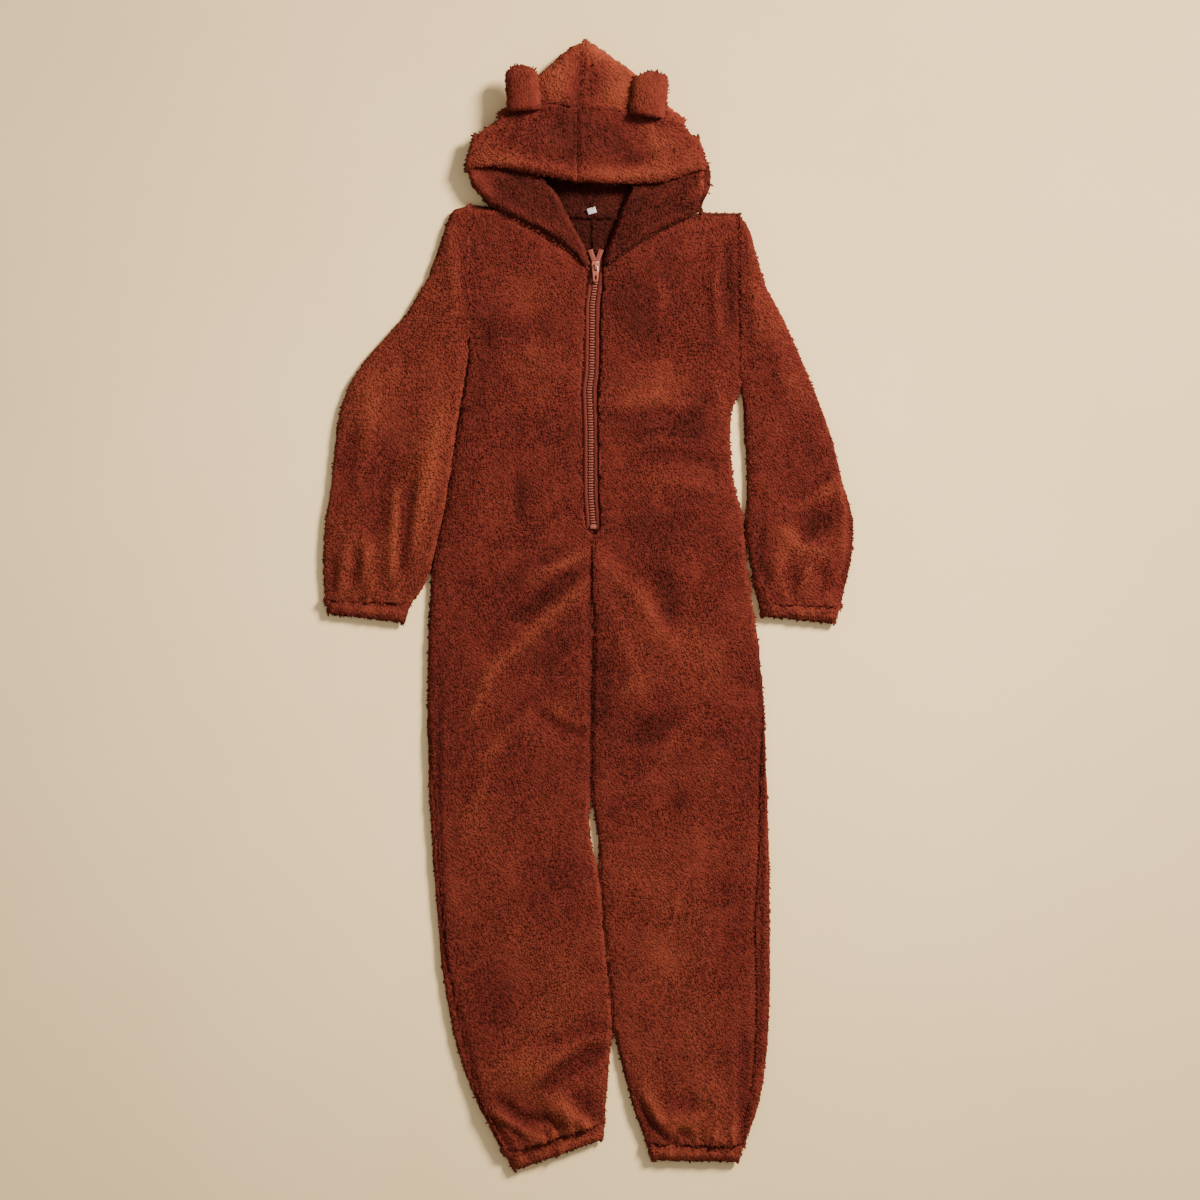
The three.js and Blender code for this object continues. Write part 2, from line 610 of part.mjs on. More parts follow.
/** Side of the hood, fallen outwards over the front with its inner face up, rolled along the face opening. */
function cheek(side) {
  const outer = [];
  const inner = [];
  for (const row of CHEEKS[side]) {
    const away = new THREE.Vector2(row.rollX - row.rimX, row.rollY - row.rimY).normalize();
    const turn = [row.rollX - away.x * CHEEK_ROLL, row.rollY - away.y * CHEEK_ROLL];
    const level = CHEEK_TOP - CHEEK_ROLL;
    const rowOuter = [[row.rimX - away.x * 1.8, row.rimY - away.y * 1.8, CHEEK_TOP - 1.6]];
    const rowInner = [[row.rimX - away.x * 1.8, row.rimY - away.y * 1.8, CHEEK_BASE + 1.6]];
    for (const share of steps(0, 1, 3).slice(0, -1)) {
      const x = mix(row.rimX, turn[0], share);
      const y = mix(row.rimY, turn[1], share);
      rowOuter.push([x, y, CHEEK_TOP]);
      rowInner.push([x, y, CHEEK_BASE]);
    }
    for (const angle of steps(0, Math.PI, 5)) {
      const [across, up] = [Math.sin(angle), Math.cos(angle)];
      const ring = (radius) => [turn[0] + away.x * radius * across, turn[1] + away.y * radius * across,
        level + radius * up];
      rowOuter.push(ring(CHEEK_ROLL));
      rowInner.push(ring(CHEEK_ROLL - WALL));
    }
    rowOuter.push([row.neckX, row.neckY, level - CHEEK_ROLL]);
    rowInner.push([row.neckX, row.neckY, level - CHEEK_ROLL + WALL]);
    outer.push(rowOuter);
    inner.push(rowInner);
  }
  return wall(`hood_cheek_${side}`, outer, inner, fleece(FLEECE));
}

/** Stuffed-looking ear of two layers turned out, cupped, lying on the crown. */
function ear(name) {
  const { base, tip, wide, foot, high } = EARS[name];
  const way = new THREE.Vector2(tip[0] - base[0], tip[1] - base[1]);
  const length = way.length();
  way.normalize();
  const across = [way.y, -way.x];
  const level = HOOD_TOP + 0.6;
  const outer = [];
  const inner = [];
  for (const share of [0, 0.18, 0.4, 0.6, 0.76, 0.88, 0.96, 1]) {
    const round = share < 0.6 ? 1 : Math.sqrt(Math.max(0.02, 1 - ((share - 0.6) / 0.4) ** 2));
    const half = mix(foot, wide, Math.min(1, share * 2)) / 2 * round;
    const rowOuter = [];
    const rowInner = [];
    for (const side of steps(-1, 1, 8)) {
      const x = base[0] + way.x * length * share + across[0] * half * side;
      const y = base[1] + way.y * length * share + across[1] * half * side;
      const dome = Math.sqrt(Math.max(0, 1 - side * side)) * round;
      rowOuter.push([x, y, level + 1.2 + high * dome]);
      rowInner.push([x, y, level]);
    }
    outer.push(rowOuter);
    inner.push(rowInner);
  }
  return wall(name, outer, inner, fleece(FLEECE_LIGHT));
}

/** Flat strip along the zip's line, between two distances from it. */
function zipStrip(name, near, far, level, thick, levels, material, edge = () => 0) {
  const outer = [];
  const inner = [];
  for (const y of levels) {
    const middle = along(MIDDLE_LINE, 'y', 'x', y);
    const spread = edge(y);
    const row = [near, far].map((offset) => middle + offset + Math.sign(near + far) * spread);
    outer.push(row.map((x) => [x, y, level + thick]));
    inner.push(row.map((x) => [x, y, level]));
  }
  return wall(name, outer, inner, material);
}

const ZIP_LEVELS = [ZIP_TOP, 408, 378, 335, 293, 271, 246, 221, 180, 139, 112, ZIP_BOTTOM + 3];
const zipSpread = (y) => Math.max(0, y - ZIP_TOP) * 0.2;
const plastic = (colour) => new THREE.MeshStandardMaterial({ color: colour, roughness: 0.45, metalness: 0 });

function zipParts() {
  const parts = [];
  for (const [side, sign] of [['left', 1], ['right', -1]]) {
    parts.push(zipStrip(`zip_tape_${side}`, sign * SEAM / 2, sign * TAPE_WIDTH, TAPE_LEVEL, TAPE_THICK,
      [434, 423, ...ZIP_LEVELS, 92], fleece(TAPE_COLOUR)));
    parts.push(zipStrip(`zip_chain_${side}`, sign * SEAM, sign * (SEAM + CHAIN_WIDTH / 2), CHAIN_LEVEL,
      CHAIN_THICK, [443, 434, 431.6], plastic(ZIP_COLOUR), zipSpread));
  }
  parts.push(zipStrip('zip_chain', -CHAIN_WIDTH / 2, CHAIN_WIDTH / 2, CHAIN_LEVEL, CHAIN_THICK,
    [430, 423, ...ZIP_LEVELS], plastic(ZIP_COLOUR)));
  const stop = new THREE.Mesh(new THREE.BoxGeometry(CHAIN_WIDTH + 1, 4, CHAIN_THICK + 0.6), plastic(ZIP_COLOUR));
  stop.name = 'zip_stop';
  stop.position.set(6, ZIP_BOTTOM, CHAIN_LEVEL + CHAIN_THICK / 2 + SEAM);
  parts.push(stop);
  return parts;
}

/** Solid for joining and cutting, from a closed geometry. */
function solidOf(geometry) {
  const bare = geometry.clone();
  bare.deleteAttribute('normal');
  bare.deleteAttribute('uv');
  const merged = BufferGeometryUtils.mergeVertices(bare, 1e-5);
  return new wasm.Manifold(new wasm.Mesh({
    numProp: 3,
    vertProperties: new Float32Array(merged.attributes.position.array),
    triVerts: new Uint32Array(merged.index.array),
  }));
}

function geometryOf(solid) {
  const { vertProperties, triVerts } = solid.getMesh();
  const geometry = new THREE.BufferGeometry();
  geometry.setAttribute('position', new THREE.BufferAttribute(vertProperties, 3));
  geometry.setIndex(new THREE.BufferAttribute(triVerts, 1));
  geometry.computeVertexNormals();
  return geometry;
}

/** Block from its lowest to its highest corner. */
function block(low, high) {
  const size = high.map((value, i) => value - low[i]);
  const geometry = new THREE.BoxGeometry(...size);
  geometry.translate(...low.map((value, i) => value + size[i] / 2));
  return geometry;
}

const PLATE_LOW = CHAIN_LEVEL + CHAIN_THICK + SEAM;
const PLATE_TOP = PLATE_LOW + SLIDER.plate;

/** Slider: a plate with two flanges beside the chain, and the bridge that holds the pull tab. */
function slider() {
  const half = SLIDER.width / 2;
  const long = SLIDER.length / 2;
  const outline = new THREE.Shape();
  outline.moveTo(-half, long - 3);
  outline.lineTo(-half * 0.72, long);
  outline.lineTo(half * 0.72, long);
  outline.lineTo(half, long - 3);
  outline.lineTo(half * 0.86, -long + 1);
  outline.lineTo(half * 0.7, -long);
  outline.lineTo(-half * 0.7, -long);
  outline.lineTo(-half * 0.86, -long + 1);
  const plate = new THREE.ExtrudeGeometry(outline, { depth: SLIDER.plate, bevelEnabled: false });
  plate.translate(0, 0, PLATE_LOW);
  let body = solidOf(plate);
  for (const sign of [-1, 1]) {
    const from = sign * (CHAIN_WIDTH / 2 + SEAM);
    const to = sign * (CHAIN_WIDTH / 2 + SEAM + SLIDER.flange - 0.5);
    body = body.add(solidOf(block([Math.min(from, to), -long + 2, CHAIN_LEVEL], [Math.max(from, to), long - 8,
      PLATE_LOW + 0.2])));
  }
  const roof = PLATE_TOP + BRIDGE.height;
  const arch = new THREE.Shape();
  arch.moveTo(-BRIDGE.length / 2, PLATE_TOP - 0.2);
  arch.lineTo(-BRIDGE.length / 2, roof - 1);
  arch.lineTo(-BRIDGE.length / 2 + 1.2, roof);
  arch.lineTo(BRIDGE.length / 2 - 1.2, roof);
  arch.lineTo(BRIDGE.length / 2, roof - 1);
  arch.lineTo(BRIDGE.length / 2, PLATE_TOP - 0.2);
  arch.lineTo(BRIDGE.length / 2 - BRIDGE.leg, PLATE_TOP - 0.2);
  arch.lineTo(BRIDGE.length / 2 - BRIDGE.leg, roof - BRIDGE.roof);
  arch.lineTo(-BRIDGE.length / 2 + BRIDGE.leg, roof - BRIDGE.roof);
  arch.lineTo(-BRIDGE.length / 2 + BRIDGE.leg, PLATE_TOP - 0.2);
  const bridge = new THREE.ExtrudeGeometry(arch, { depth: BRIDGE.width, bevelEnabled: false });
  bridge.translate(0, 0, -BRIDGE.width / 2);
  bridge.rotateX(QUARTER);
  bridge.rotateZ(QUARTER);
  body = body.add(solidOf(bridge));
  const mesh = new THREE.Mesh(geometryOf(body), plastic(ZIP_COLOUR));
  mesh.name = 'zip_slider';
  mesh.position.set(SLIDER.x, SLIDER.y, 0);
  return mesh;
}

/** Pull tab lying down over the chain; its eye goes round the slider's bridge. */
function pullTab() {
  const half = TAB.width / 2;
  const outline = new THREE.Shape();
  outline.moveTo(-half + 1, TAB.bar / 2);
  outline.lineTo(half - 1, TAB.bar / 2);
  outline.lineTo(half, -2);
  outline.lineTo(half * 0.78, -TAB.length + 2);
  outline.lineTo(half * 0.5, -TAB.length);
  outline.lineTo(-half * 0.5, -TAB.length);
  outline.lineTo(-half * 0.78, -TAB.length + 2);
  outline.lineTo(-half, -2);
  const hole = (width, from, to) => {
    const path = new THREE.Path();
    path.moveTo(-width / 2, from);
    path.lineTo(-width / 2, to);
    path.lineTo(width / 2, to);
    path.lineTo(width / 2, from);
    return path;
  };
  outline.holes.push(hole(TAB.eye, -TAB.bar / 2, -TAB.bar / 2 - 5), hole(2.6, -TAB.length + 8, -TAB.length + 3));
  const geometry = new THREE.ExtrudeGeometry(outline, { depth: TAB.thick, bevelEnabled: false });
  geometry.translate(0, 0, -TAB.thick / 2);
  const mesh = new THREE.Mesh(geometry, plastic(ZIP_COLOUR));
  mesh.name = 'zip_pull';
  mesh.position.set(SLIDER.x, SLIDER.y, PLATE_TOP + TAB.lift);
  return mesh;
}

function label() {
  const mesh = new THREE.Mesh(new THREE.BoxGeometry(LABEL.width, LABEL.length, LABEL.thick), fleece(LABEL_COLOUR));
  mesh.name = 'label';
  mesh.position.set(LABEL.x - 2, LABEL.y + LABEL.length / 2, WALL + SEAM + LABEL.thick / 2);
  return mesh;
}

const garment = new THREE.Group();
for (const side of ['right', 'left']) {
  garment.add(frontPanel(side), backPanel(side), sleeve(side));
  const wrist = SLEEVES[side][SLEEVES[side].length - 1];
  garment.add(band(`wrist_band_${side}`, {
    inner: [wrist.innerX, wrist.innerY], outer: [wrist.outerX, wrist.outerY],
  }));
  const level = STATIONS[STATIONS.length - 1];
  const { drop, innerDrop = 0 } = ANKLE[side];
  garment.add(band(`ankle_band_${side}`, {
    inner: [innerEdge(side, level - innerDrop), level - innerDrop],
    outer: [along(SIDE_EDGE[side], 'y', 'x', level - drop), level - drop],
  }));
  garment.add(crown(side), brow(side), cheek(side));
}
for (const name of Object.keys(EARS)) garment.add(ear(name));
garment.add(...zipParts(), slider(), pullTab(), label());

export default garment;
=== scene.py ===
"""Looks of a hooded teddy-fleece onesie pajama with bear ears, laid flat on its back.

The tables are in millimetres, Blender's lengths in metres. +Y points to the hood, +Z up off the floor
and +X to the wearer's left. Each panel is a thin shell on the form of its solid, with listed creases, and its
pile is grown on it as separate locks of yarn.
"""

from __future__ import annotations

import logging
import math
from dataclasses import dataclass, field
from enum import Enum

import bmesh
import bpy
import numpy as np
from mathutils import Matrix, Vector, noise
from mathutils.bvhtree import BVHTree
from mathutils.kdtree import KDTree

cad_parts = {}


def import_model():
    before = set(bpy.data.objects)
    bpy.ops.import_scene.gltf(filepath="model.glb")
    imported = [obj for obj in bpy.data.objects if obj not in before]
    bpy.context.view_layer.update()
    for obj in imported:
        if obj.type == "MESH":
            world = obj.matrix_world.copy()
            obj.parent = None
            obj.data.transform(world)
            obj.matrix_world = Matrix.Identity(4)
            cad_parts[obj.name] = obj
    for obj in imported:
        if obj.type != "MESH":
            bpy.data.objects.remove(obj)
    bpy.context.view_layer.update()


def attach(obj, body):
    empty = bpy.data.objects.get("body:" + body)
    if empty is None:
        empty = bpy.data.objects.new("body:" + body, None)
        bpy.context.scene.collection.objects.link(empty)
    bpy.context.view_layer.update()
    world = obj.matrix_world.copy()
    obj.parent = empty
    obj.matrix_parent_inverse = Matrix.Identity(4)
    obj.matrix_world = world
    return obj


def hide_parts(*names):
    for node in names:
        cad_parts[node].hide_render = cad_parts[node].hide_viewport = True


LOG = logging.getLogger("onesie")
MM = 0.001
# A wave texture of this scale repeats once in each unit of length
WAVE = 0.31
# Blender's vector noise starts from the clock unless it is given a seed
NOISE_SEED = 5
# The wearer's sides, and the way to each along X
SIDES = (("left", 1.0), ("right", -1.0))


class Body(Enum):
    """Bodies that the pieces ride on."""

    GARMENT = "garment"
    PULL_TAB = "pull_tab"


class Slot(Enum):
    """Material slots of the record."""

    FLEECE = "fleece"
    BAND = "fleece_band"
    TAPE = "zip_tape"
    PLASTIC = "zip_plastic"
    LABEL = "label"


def linear(colour: str) -> tuple[float, float, float, float]:
    """Turns an sRGB hex colour to linear light.

    Args:
        colour: Six hex digits after a hash.

    Returns:
        Red, green, blue and an alpha of 1.
    """
    parts = [int(colour[i : i + 2], 16) / 255 for i in (1, 3, 5)]
    red, green, blue = (p / 12.92 if p <= 0.04045 else ((p + 0.055) / 1.055) ** 2.4 for p in parts)
    return (red, green, blue, 1.0)


def add(tree: bpy.types.NodeTree, kind: str, settings: dict | None = None,
        inputs: dict | None = None) -> bpy.types.Node:
    """Adds a node to a tree with its settings and inputs.

    Args:
        tree: Shader or geometry tree.
        kind: Type of the node.
        settings: Properties of the node by name.
        inputs: Values, or output sockets to link, by the input's name or number.

    Returns:
        The new node.
    """
    node = tree.nodes.new(kind)
    for name, value in (settings or {}).items():
        setattr(node, name, value)
    for key, value in (inputs or {}).items():
        if isinstance(key, int):
            socket = node.inputs[key]
        else:
            socket = next(s for s in node.inputs if s.enabled and s.name == key)
        if isinstance(value, bpy.types.NodeSocket):
            tree.links.new(value, socket)
        else:
            socket.default_value = value
    return node


def out(node: bpy.types.Node, name: str | None = None) -> bpy.types.NodeSocket:
    """Returns the node's first live output, or the one of that name."""
    return next(s for s in node.outputs if s.enabled and name in (None, s.name))


def maths(tree: bpy.types.NodeTree, operation: str, *values: float | bpy.types.NodeSocket,
          clamp: bool = False) -> bpy.types.NodeSocket:
    """Adds a math node.

    Args:
        tree: Shader or geometry tree.
        operation: What it does.
        values: Its operands, as numbers or output sockets.
        clamp: Whether the result is kept between 0 and 1.

    Returns:
        Output socket of the result.
    """
    settings = {"operation": operation, "use_clamp": clamp}
    return out(add(tree, "ShaderNodeMath", settings, dict(enumerate(values))))


def multiplied(tree: bpy.types.NodeTree, colour: bpy.types.NodeSocket,
               shade: bpy.types.NodeSocket) -> bpy.types.NodeSocket:
    """Adds a mix that multiplies a colour by a shade, and returns its output socket."""
    return out(add(tree, "ShaderNodeMix", {"data_type": "RGBA", "blend_type": "MULTIPLY"}, {
        "Factor": 1.0, "A": colour, "B": shade}), "Result")


def blended(tree: bpy.types.NodeTree, share: bpy.types.NodeSocket, low: str, high: str) -> bpy.types.NodeSocket:
    """Adds a mix of two sRGB hex colours by a share, and returns its output socket."""
    return out(add(tree, "ShaderNodeMix", {"data_type": "RGBA"}, {
        "Factor": share, "A": linear(low), "B": linear(high)}), "Result")


def relief(tree: bpy.types.NodeTree, height: bpy.types.NodeSocket, strength: float,
           deep_mm: float) -> bpy.types.NodeSocket:
    """Adds a bump of a height field.

    Args:
        tree: Material's tree.
        height: Output socket of the height, from 0 to 1.
        strength: How strongly it shows.
        deep_mm: Real depth of the relief.

    Returns:
        Output socket of the bumped normal.
    """
    return out(add(tree, "ShaderNodeBump", inputs={
        "Strength": strength, "Distance": deep_mm * MM, "Height": height}))


def close_material(tree: bpy.types.NodeTree, inputs: dict[str, object]) -> None:
    """Ends a material's tree.

    Args:
        tree: The tree.
        inputs: Values and sockets of the surface shader, by input name.
    """
    surface = add(tree, "ShaderNodeBsdfPrincipled", inputs=inputs)
    add(tree, "ShaderNodeOutputMaterial", inputs={"Surface": out(surface)})


def new_tree(name: str, sizes: dict[str, tuple[str, object]]) -> tuple[bpy.types.NodeTree, bpy.types.Node]:
    """Starts a geometry tree with a geometry input and named inputs.

    Args:
        name: Name of the tree.
        sizes: Socket type and default value by the input's name.

    Returns:
        The tree and its input node.
    """
    tree = bpy.data.node_groups.new(name, "GeometryNodeTree")
    tree.interface.new_socket("Geometry", in_out="INPUT", socket_type="NodeSocketGeometry")
    for label, (kind, value) in sizes.items():
        socket = tree.interface.new_socket(label, in_out="INPUT", socket_type=kind)
        if value is not None:
            socket.default_value = value
    tree.interface.new_socket("Geometry", in_out="OUTPUT", socket_type="NodeSocketGeometry")
    return tree, tree.nodes.new("NodeGroupInput")


def end_tree(tree: bpy.types.NodeTree, geometry: bpy.types.NodeSocket,
             material: bpy.types.NodeSocket) -> None:
    """Closes a geometry tree: instances made real, smooth faces, one material.

    Args:
        tree: The tree.
        geometry: Output socket that carries the instances.
        material: Output socket that carries the material.
    """
    real = add(tree, "GeometryNodeRealizeInstances", inputs={"Geometry": geometry})
    smooth = add(tree, "GeometryNodeSetShadeSmooth", inputs={"Geometry": out(real)})
    dressed = add(tree, "GeometryNodeSetMaterial", inputs={"Geometry": out(smooth), "Material": material})
    add(tree, "NodeGroupOutput", inputs={"Geometry": out(dressed)})


def link(name: str, mesh: bpy.types.Mesh) -> bpy.types.Object:
    """Puts a mesh in the scene as an object of that name."""
    mesh.name = name
    piece = bpy.data.objects.new(name, mesh)
    bpy.context.scene.collection.objects.link(piece)
    return piece


def grow(source: bpy.types.Object, tree: bpy.types.NodeTree, values: dict, name: str) -> bpy.types.Object:
    """Runs a geometry tree on an object and keeps the result as a plain mesh.

    Args:
        source: Object that the tree works on; it stays as it was.
        tree: The tree.
        values: Values of the tree's inputs, by their names.
        name: Name of the new piece.

    Returns:
        The new piece.
    """
    modifier = source.modifiers.new(tree.name, "NODES")
    modifier.node_group = tree
    for item in tree.interface.items_tree:
        if item.item_type == "SOCKET" and item.in_out == "INPUT" and item.name in values:
            modifier[item.identifier] = values[item.name]
    bpy.context.view_layer.update()
    graph = bpy.context.evaluated_depsgraph_get()
    mesh = bpy.data.meshes.new_from_object(
        source.evaluated_get(graph), preserve_all_data_layers=True, depsgraph=graph
    )
    source.modifiers.remove(modifier)
    return link(name, mesh)


def declare(piece: bpy.types.Object, body: Body = Body.GARMENT, node: str | None = None) -> None:
    """Hangs a piece under the body that it rides on, hides the solid that it stands for, and reports the piece.

    Args:
        piece: The piece.
        body: Body that it rides on.
        node: Name of the solid that it replaces, if it does.
    """
    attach(piece, body.value)
    if node:
        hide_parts(node)
    LOG.info("%s: %d faces", piece.name, len(piece.data.polygons))


def smooth_step(value: np.ndarray | float, low: float, high: float) -> np.ndarray | float:
    """Rises smoothly from 0 at low to 1 at high."""
    share = np.clip((value - low) / (high - low), 0, 1)
    return share * share * (3 - 2 * share)


@dataclass(frozen=True)
class Stroke:
    """A soft line across the laid cloth: a ridge, a trough, or pile painted lighter or darker, as brushed nap
    and as painted light and shade.
    """

    points: tuple[tuple[float, float], ...]
    wide: float
    amount: float

    def at(self, x: np.ndarray, y: np.ndarray) -> np.ndarray:
        """Amount that the stroke adds at each place.

        Args:
            x: Places across the garment, in millimetres.
            y: Places along the garment, in millimetres.

        Returns:
            The amount, fading out at the stroke's ends and sides.
        """
        nearest = np.full(x.shape, np.inf)
        place = np.zeros(x.shape)
        total = sum(math.dist(a, b) for a, b in zip(self.points, self.points[1:]))
        run = 0.0
        for (ax, ay), (bx, by) in zip(self.points, self.points[1:]):
            dx, dy = bx - ax, by - ay
            length = math.hypot(dx, dy)
            share = np.clip(((x - ax) * dx + (y - ay) * dy) / length**2, 0, 1)
            away = np.hypot(x - ax - share * dx, y - ay - share * dy)
            closer = away < nearest
            nearest = np.where(closer, away, nearest)
            place = np.where(closer, (run + share * length) / total, place)
            run += length
        fade = np.sin(math.pi * (0.02 + 0.96 * place)) ** 0.35
        return self.amount * fade * np.exp(-((nearest / self.wide) ** 2))


def strokes(*rows: tuple) -> tuple[Stroke, ...]:
    """Makes strokes of rows that hold the width, the amount and then the points."""
    return tuple(Stroke(points=tuple(row[2:]), wide=row[0], amount=row[1]) for row in rows)


def gathers(start: tuple[float, float], end: tuple[float, float], reach: float, count: int,
            high: float, seed: int) -> tuple[Stroke, ...]:
    """Makes the small pleats that an elastic band draws up, uneven in length and height.

    Args:
        start: One end of the band's seam.
        end: Its other end; the pleats run to the left of this way.
        reach: Length of a pleat above the seam.
        count: How many pleats.
        high: Height of a pleat.
        seed: Start of the unevenness.

    Returns:
        One stroke for each pleat.
    """
    uneven = np.random.default_rng(seed)
    along = np.array(end) - start
    across = np.array((-along[1], along[0])) / np.linalg.norm(along)
    made = []
    for index in range(count):
        foot = np.array(start) + along * (index + 0.5 + uneven.uniform(-0.25, 0.25)) / count
        tip = foot + across * reach * uneven.uniform(0.5, 1.2) + along / count * uneven.uniform(-0.6, 0.6)
        foot = foot - across * reach * 0.3
        wide = np.linalg.norm(along) / count * 0.34
        made.append(Stroke(points=(tuple(foot), tuple(tip)), wide=wide, amount=high * uneven.uniform(0.6, 1.2)))
    return tuple(made)


# Creases of the upper side, with the pleats that the bands draw up. A stroke's row holds its width, its
# height and its points; a height above 0 is a ridge and one below 0 a trough
BODY_CREASES = gathers((-86, -684), (14, -647), 17, 8, 2.6, seed=3)
BODY_CREASES += gathers((82, -670), (186, -672), 19, 9, 2.6, seed=4)
BODY_CREASES += strokes(
    # From the crotch to the wearer's right hip and thigh
    (8, -2.6, (-13, 46), (-52, 12), (-95, -21)),
    (7, 2.4, (-4, 66), (-40, 48), (-81, 38)),
    (7, 3.0, (-2, 29), (-61, -23), (-123, -80), (-150, -142)),
    (9, -2.0, (-33, 69), (-70, 44), (-107, 24)),
    (8, 2.4, (-70, -124), (-105, -158), (-138, -200)),
    (9, -1.8, (-52, -104), (-84, -130), (-111, -160)),
    (6, -2.0, (-68, -129), (-36, -150), (-4, -162)),
    (7, 1.8, (-66, -120), (-34, -138), (-6, -150)),
    (9, 2.2, (-126, -216), (-150, -262), (-160, -300)),
    # From the crotch to the wearer's left hip
    (11, -2.0, (97, 30), (101, 0), (96, -32)),
    (12, 2.4, (19, 52), (64, 8), (114, -67)),
    (10, 1.8, (30, -16), (52, -70), (60, -112)),
    (9, -1.8, (110, -132), (88, -162), (64, -170)),
    (10, 2.0, (128, -144), (92, -178), (40, -186)),
    (8, -1.8, (128, -186), (86, -206), (40, -216)),
    (9, 1.8, (150, -150), (158, -190), (140, -230)),
    # Across the front between the zip and the sides
    (7, -2.4, (-88, 162), (-90, 134), (-86, 108)),
    (8, 1.6, (-100, 170), (-102, 134), (-98, 104)),
    (6, -1.8, (-16, 226), (-32, 214), (-50, 205)),
    (8, 1.8, (24, 246), (80, 262), (132, 248)),
    (7, -1.8, (22, 232), (84, 240), (140, 226)),
    (8, 1.8, (40, 196), (96, 206), (158, 196)),
    (7, -1.6, (50, 182), (104, 188), (160, 176)),
    (8, 1.4, (44, 150), (104, 158), (168, 140)),
    (9, 2.0, (84, 420), (90, 392), (86, 362)),
    (7, 2.6, (163, 455), (158, 400), (164, 338)),
    (6, -2.4, (174, 458), (172, 400), (176, 340)),
    (7, 2.6, (157, 300), (160, 270), (166, 240)),
    (8, -1.8, (-128, 330), (-134, 290), (-140, 250)),
    (12, 1.6, (-92, 372), (-110, 340), (-108, 300)),
    (10, 1.6, (-30, 330), (-60, 316), (-96, 322)),
    # Seam below the zip
    (4, -1.8, (6, 98), (4, 40), (3, -40), (3, -140), (2, -236)),
    # Side seams of the legs, sunk beside a rounded edge
    (4, -1.8, (-184, -60), (-188, -240), (-180, -430), (-159, -520), (-133, -622), (-95, -682)),
    (4, -1.8, (210, -42), (217, -163), (214, -344), (213, -478), (210, -565), (196, -646), (187, -682)),
    # Puffed cloth between the creases
    (60, 2.2, (-90, 30), (-30, 10)),
    (60, 2.0, (60, 10), (110, -110)),
    (60, 1.6, (-60, -130), (-140, -180)),
    (42, 3.2, (-92, -606), (-8, -592)),
    (42, 3.2, (96, -620), (176, -620)),
    # Wearer's right ankle
    (9, -2.8, (20, -529), (-11, -531), (-62, -549)),
    (8, 3.4, (25, -540), (-2, -540), (-46, -569), (-76, -598)),
    (12, -3.4, (9, -556), (-40, -584), (-69, -616)),
    (14, 4.6, (-46, -622), (-15, -645)),
    (6, -4.6, (-113, -614), (-91, -634), (-76, -643), (-51, -636), (-40, -650)),
    (6, 4.0, (-129, -627), (-91, -650), (-64, -667), (-46, -661)),
    (4, -3.0, (-109, -643), (-80, -663)),
    (10, -2.4, (-20, -607), (7, -638)),
    (9, 3.0, (-26, -640), (4, -652)),
    (18, 2.4, (-66, -560), (-104, -596)),
    # Wearer's left ankle
    (5, -3.2, (60, -612), (79, -647), (99, -665), (117, -672)),
    (7, 3.2, (68, -606), (88, -642), (106, -660)),
    (5, -3.6, (112, -652), (123, -662)),
    (12, 4.2, (96, -636), (120, -648), (146, -640)),
    (14, -2.2, (112, -616), (134, -624)),
    (7, -3.0, (192, -530), (191, -600), (190, -656)),
    (8, 2.8, (181, -540), (182, -610), (180, -660)),
    (9, 2.4, (150, -654), (164, -668)),
)
SLEEVE_CREASES = gathers((-322, 12), (-234, 0), 22, 7, 2.2, seed=5)
SLEEVE_CREASES += gathers((218, 10), (306, 2), 22, 7, 2.2, seed=6)
SLEEVE_CREASES += strokes(
    # Puffed cloth above the wrists
    (30, 2.4, (-306, 70), (-244, 80)),
    (30, 2.4, (228, 50), (300, 80)),
    # Wearer's right sleeve
    (11, 3.4, (-184, 250), (-196, 190), (-209, 128), (-224, 66)),
    (6, -3.2, (-220, 160), (-225, 111), (-234, 44)),
    (6, 3.8, (-240, 146), (-245, 96), (-247, 36)),
    (11, -2.4, (-254, 196), (-262, 134), (-266, 78)),
    (14, 2.2, (-268, 268), (-280, 232), (-284, 196)),
    (10, -1.8, (-292, 222), (-300, 176), (-302, 132)),
    (8, 2.8, (-276, 78), (-281, 24)),
    (7, -2.8, (-290, 70), (-294, 22)),
    (8, 2.8, (-304, 74), (-309, 22)),
    (7, -2.2, (-318, 60), (-321, 20)),
    (8, 2.2, (-176, 476), (-170, 420), (-160, 360)),
    (8, -2.0, (-156, 440), (-158, 386), (-160, 340)),
    # Wearer's left sleeve
    (8, 2.0, (204, 452), (206, 390), (214, 320)),
    (14, 1.8, (230, 350), (244, 300), (262, 250)),
    (8, -2.4, (258, 136), (282, 152), (306, 168)),
    (9, 2.2, (252, 118), (284, 136), (312, 150)),
    (9, -2.8, (262, 84), (286, 98), (304, 112)),
    (9, 2.8, (240, 92), (262, 72), (290, 66)),
    (5, -3.2, (322, 172), (329, 120), (326, 66), (318, 24)),
    (6, 2.4, (312, 160), (319, 116), (316, 60)),
    (6, -2.4, (216, 104), (212, 62), (222, 34)),
    (7, 2.6, (236, 58), (232, 20)),
    (7, -2.4, (252, 52), (254, 18)),
    (8, 2.8, (274, 52), (272, 16)),
    (7, -2.2, (292, 46), (296, 14)),
)
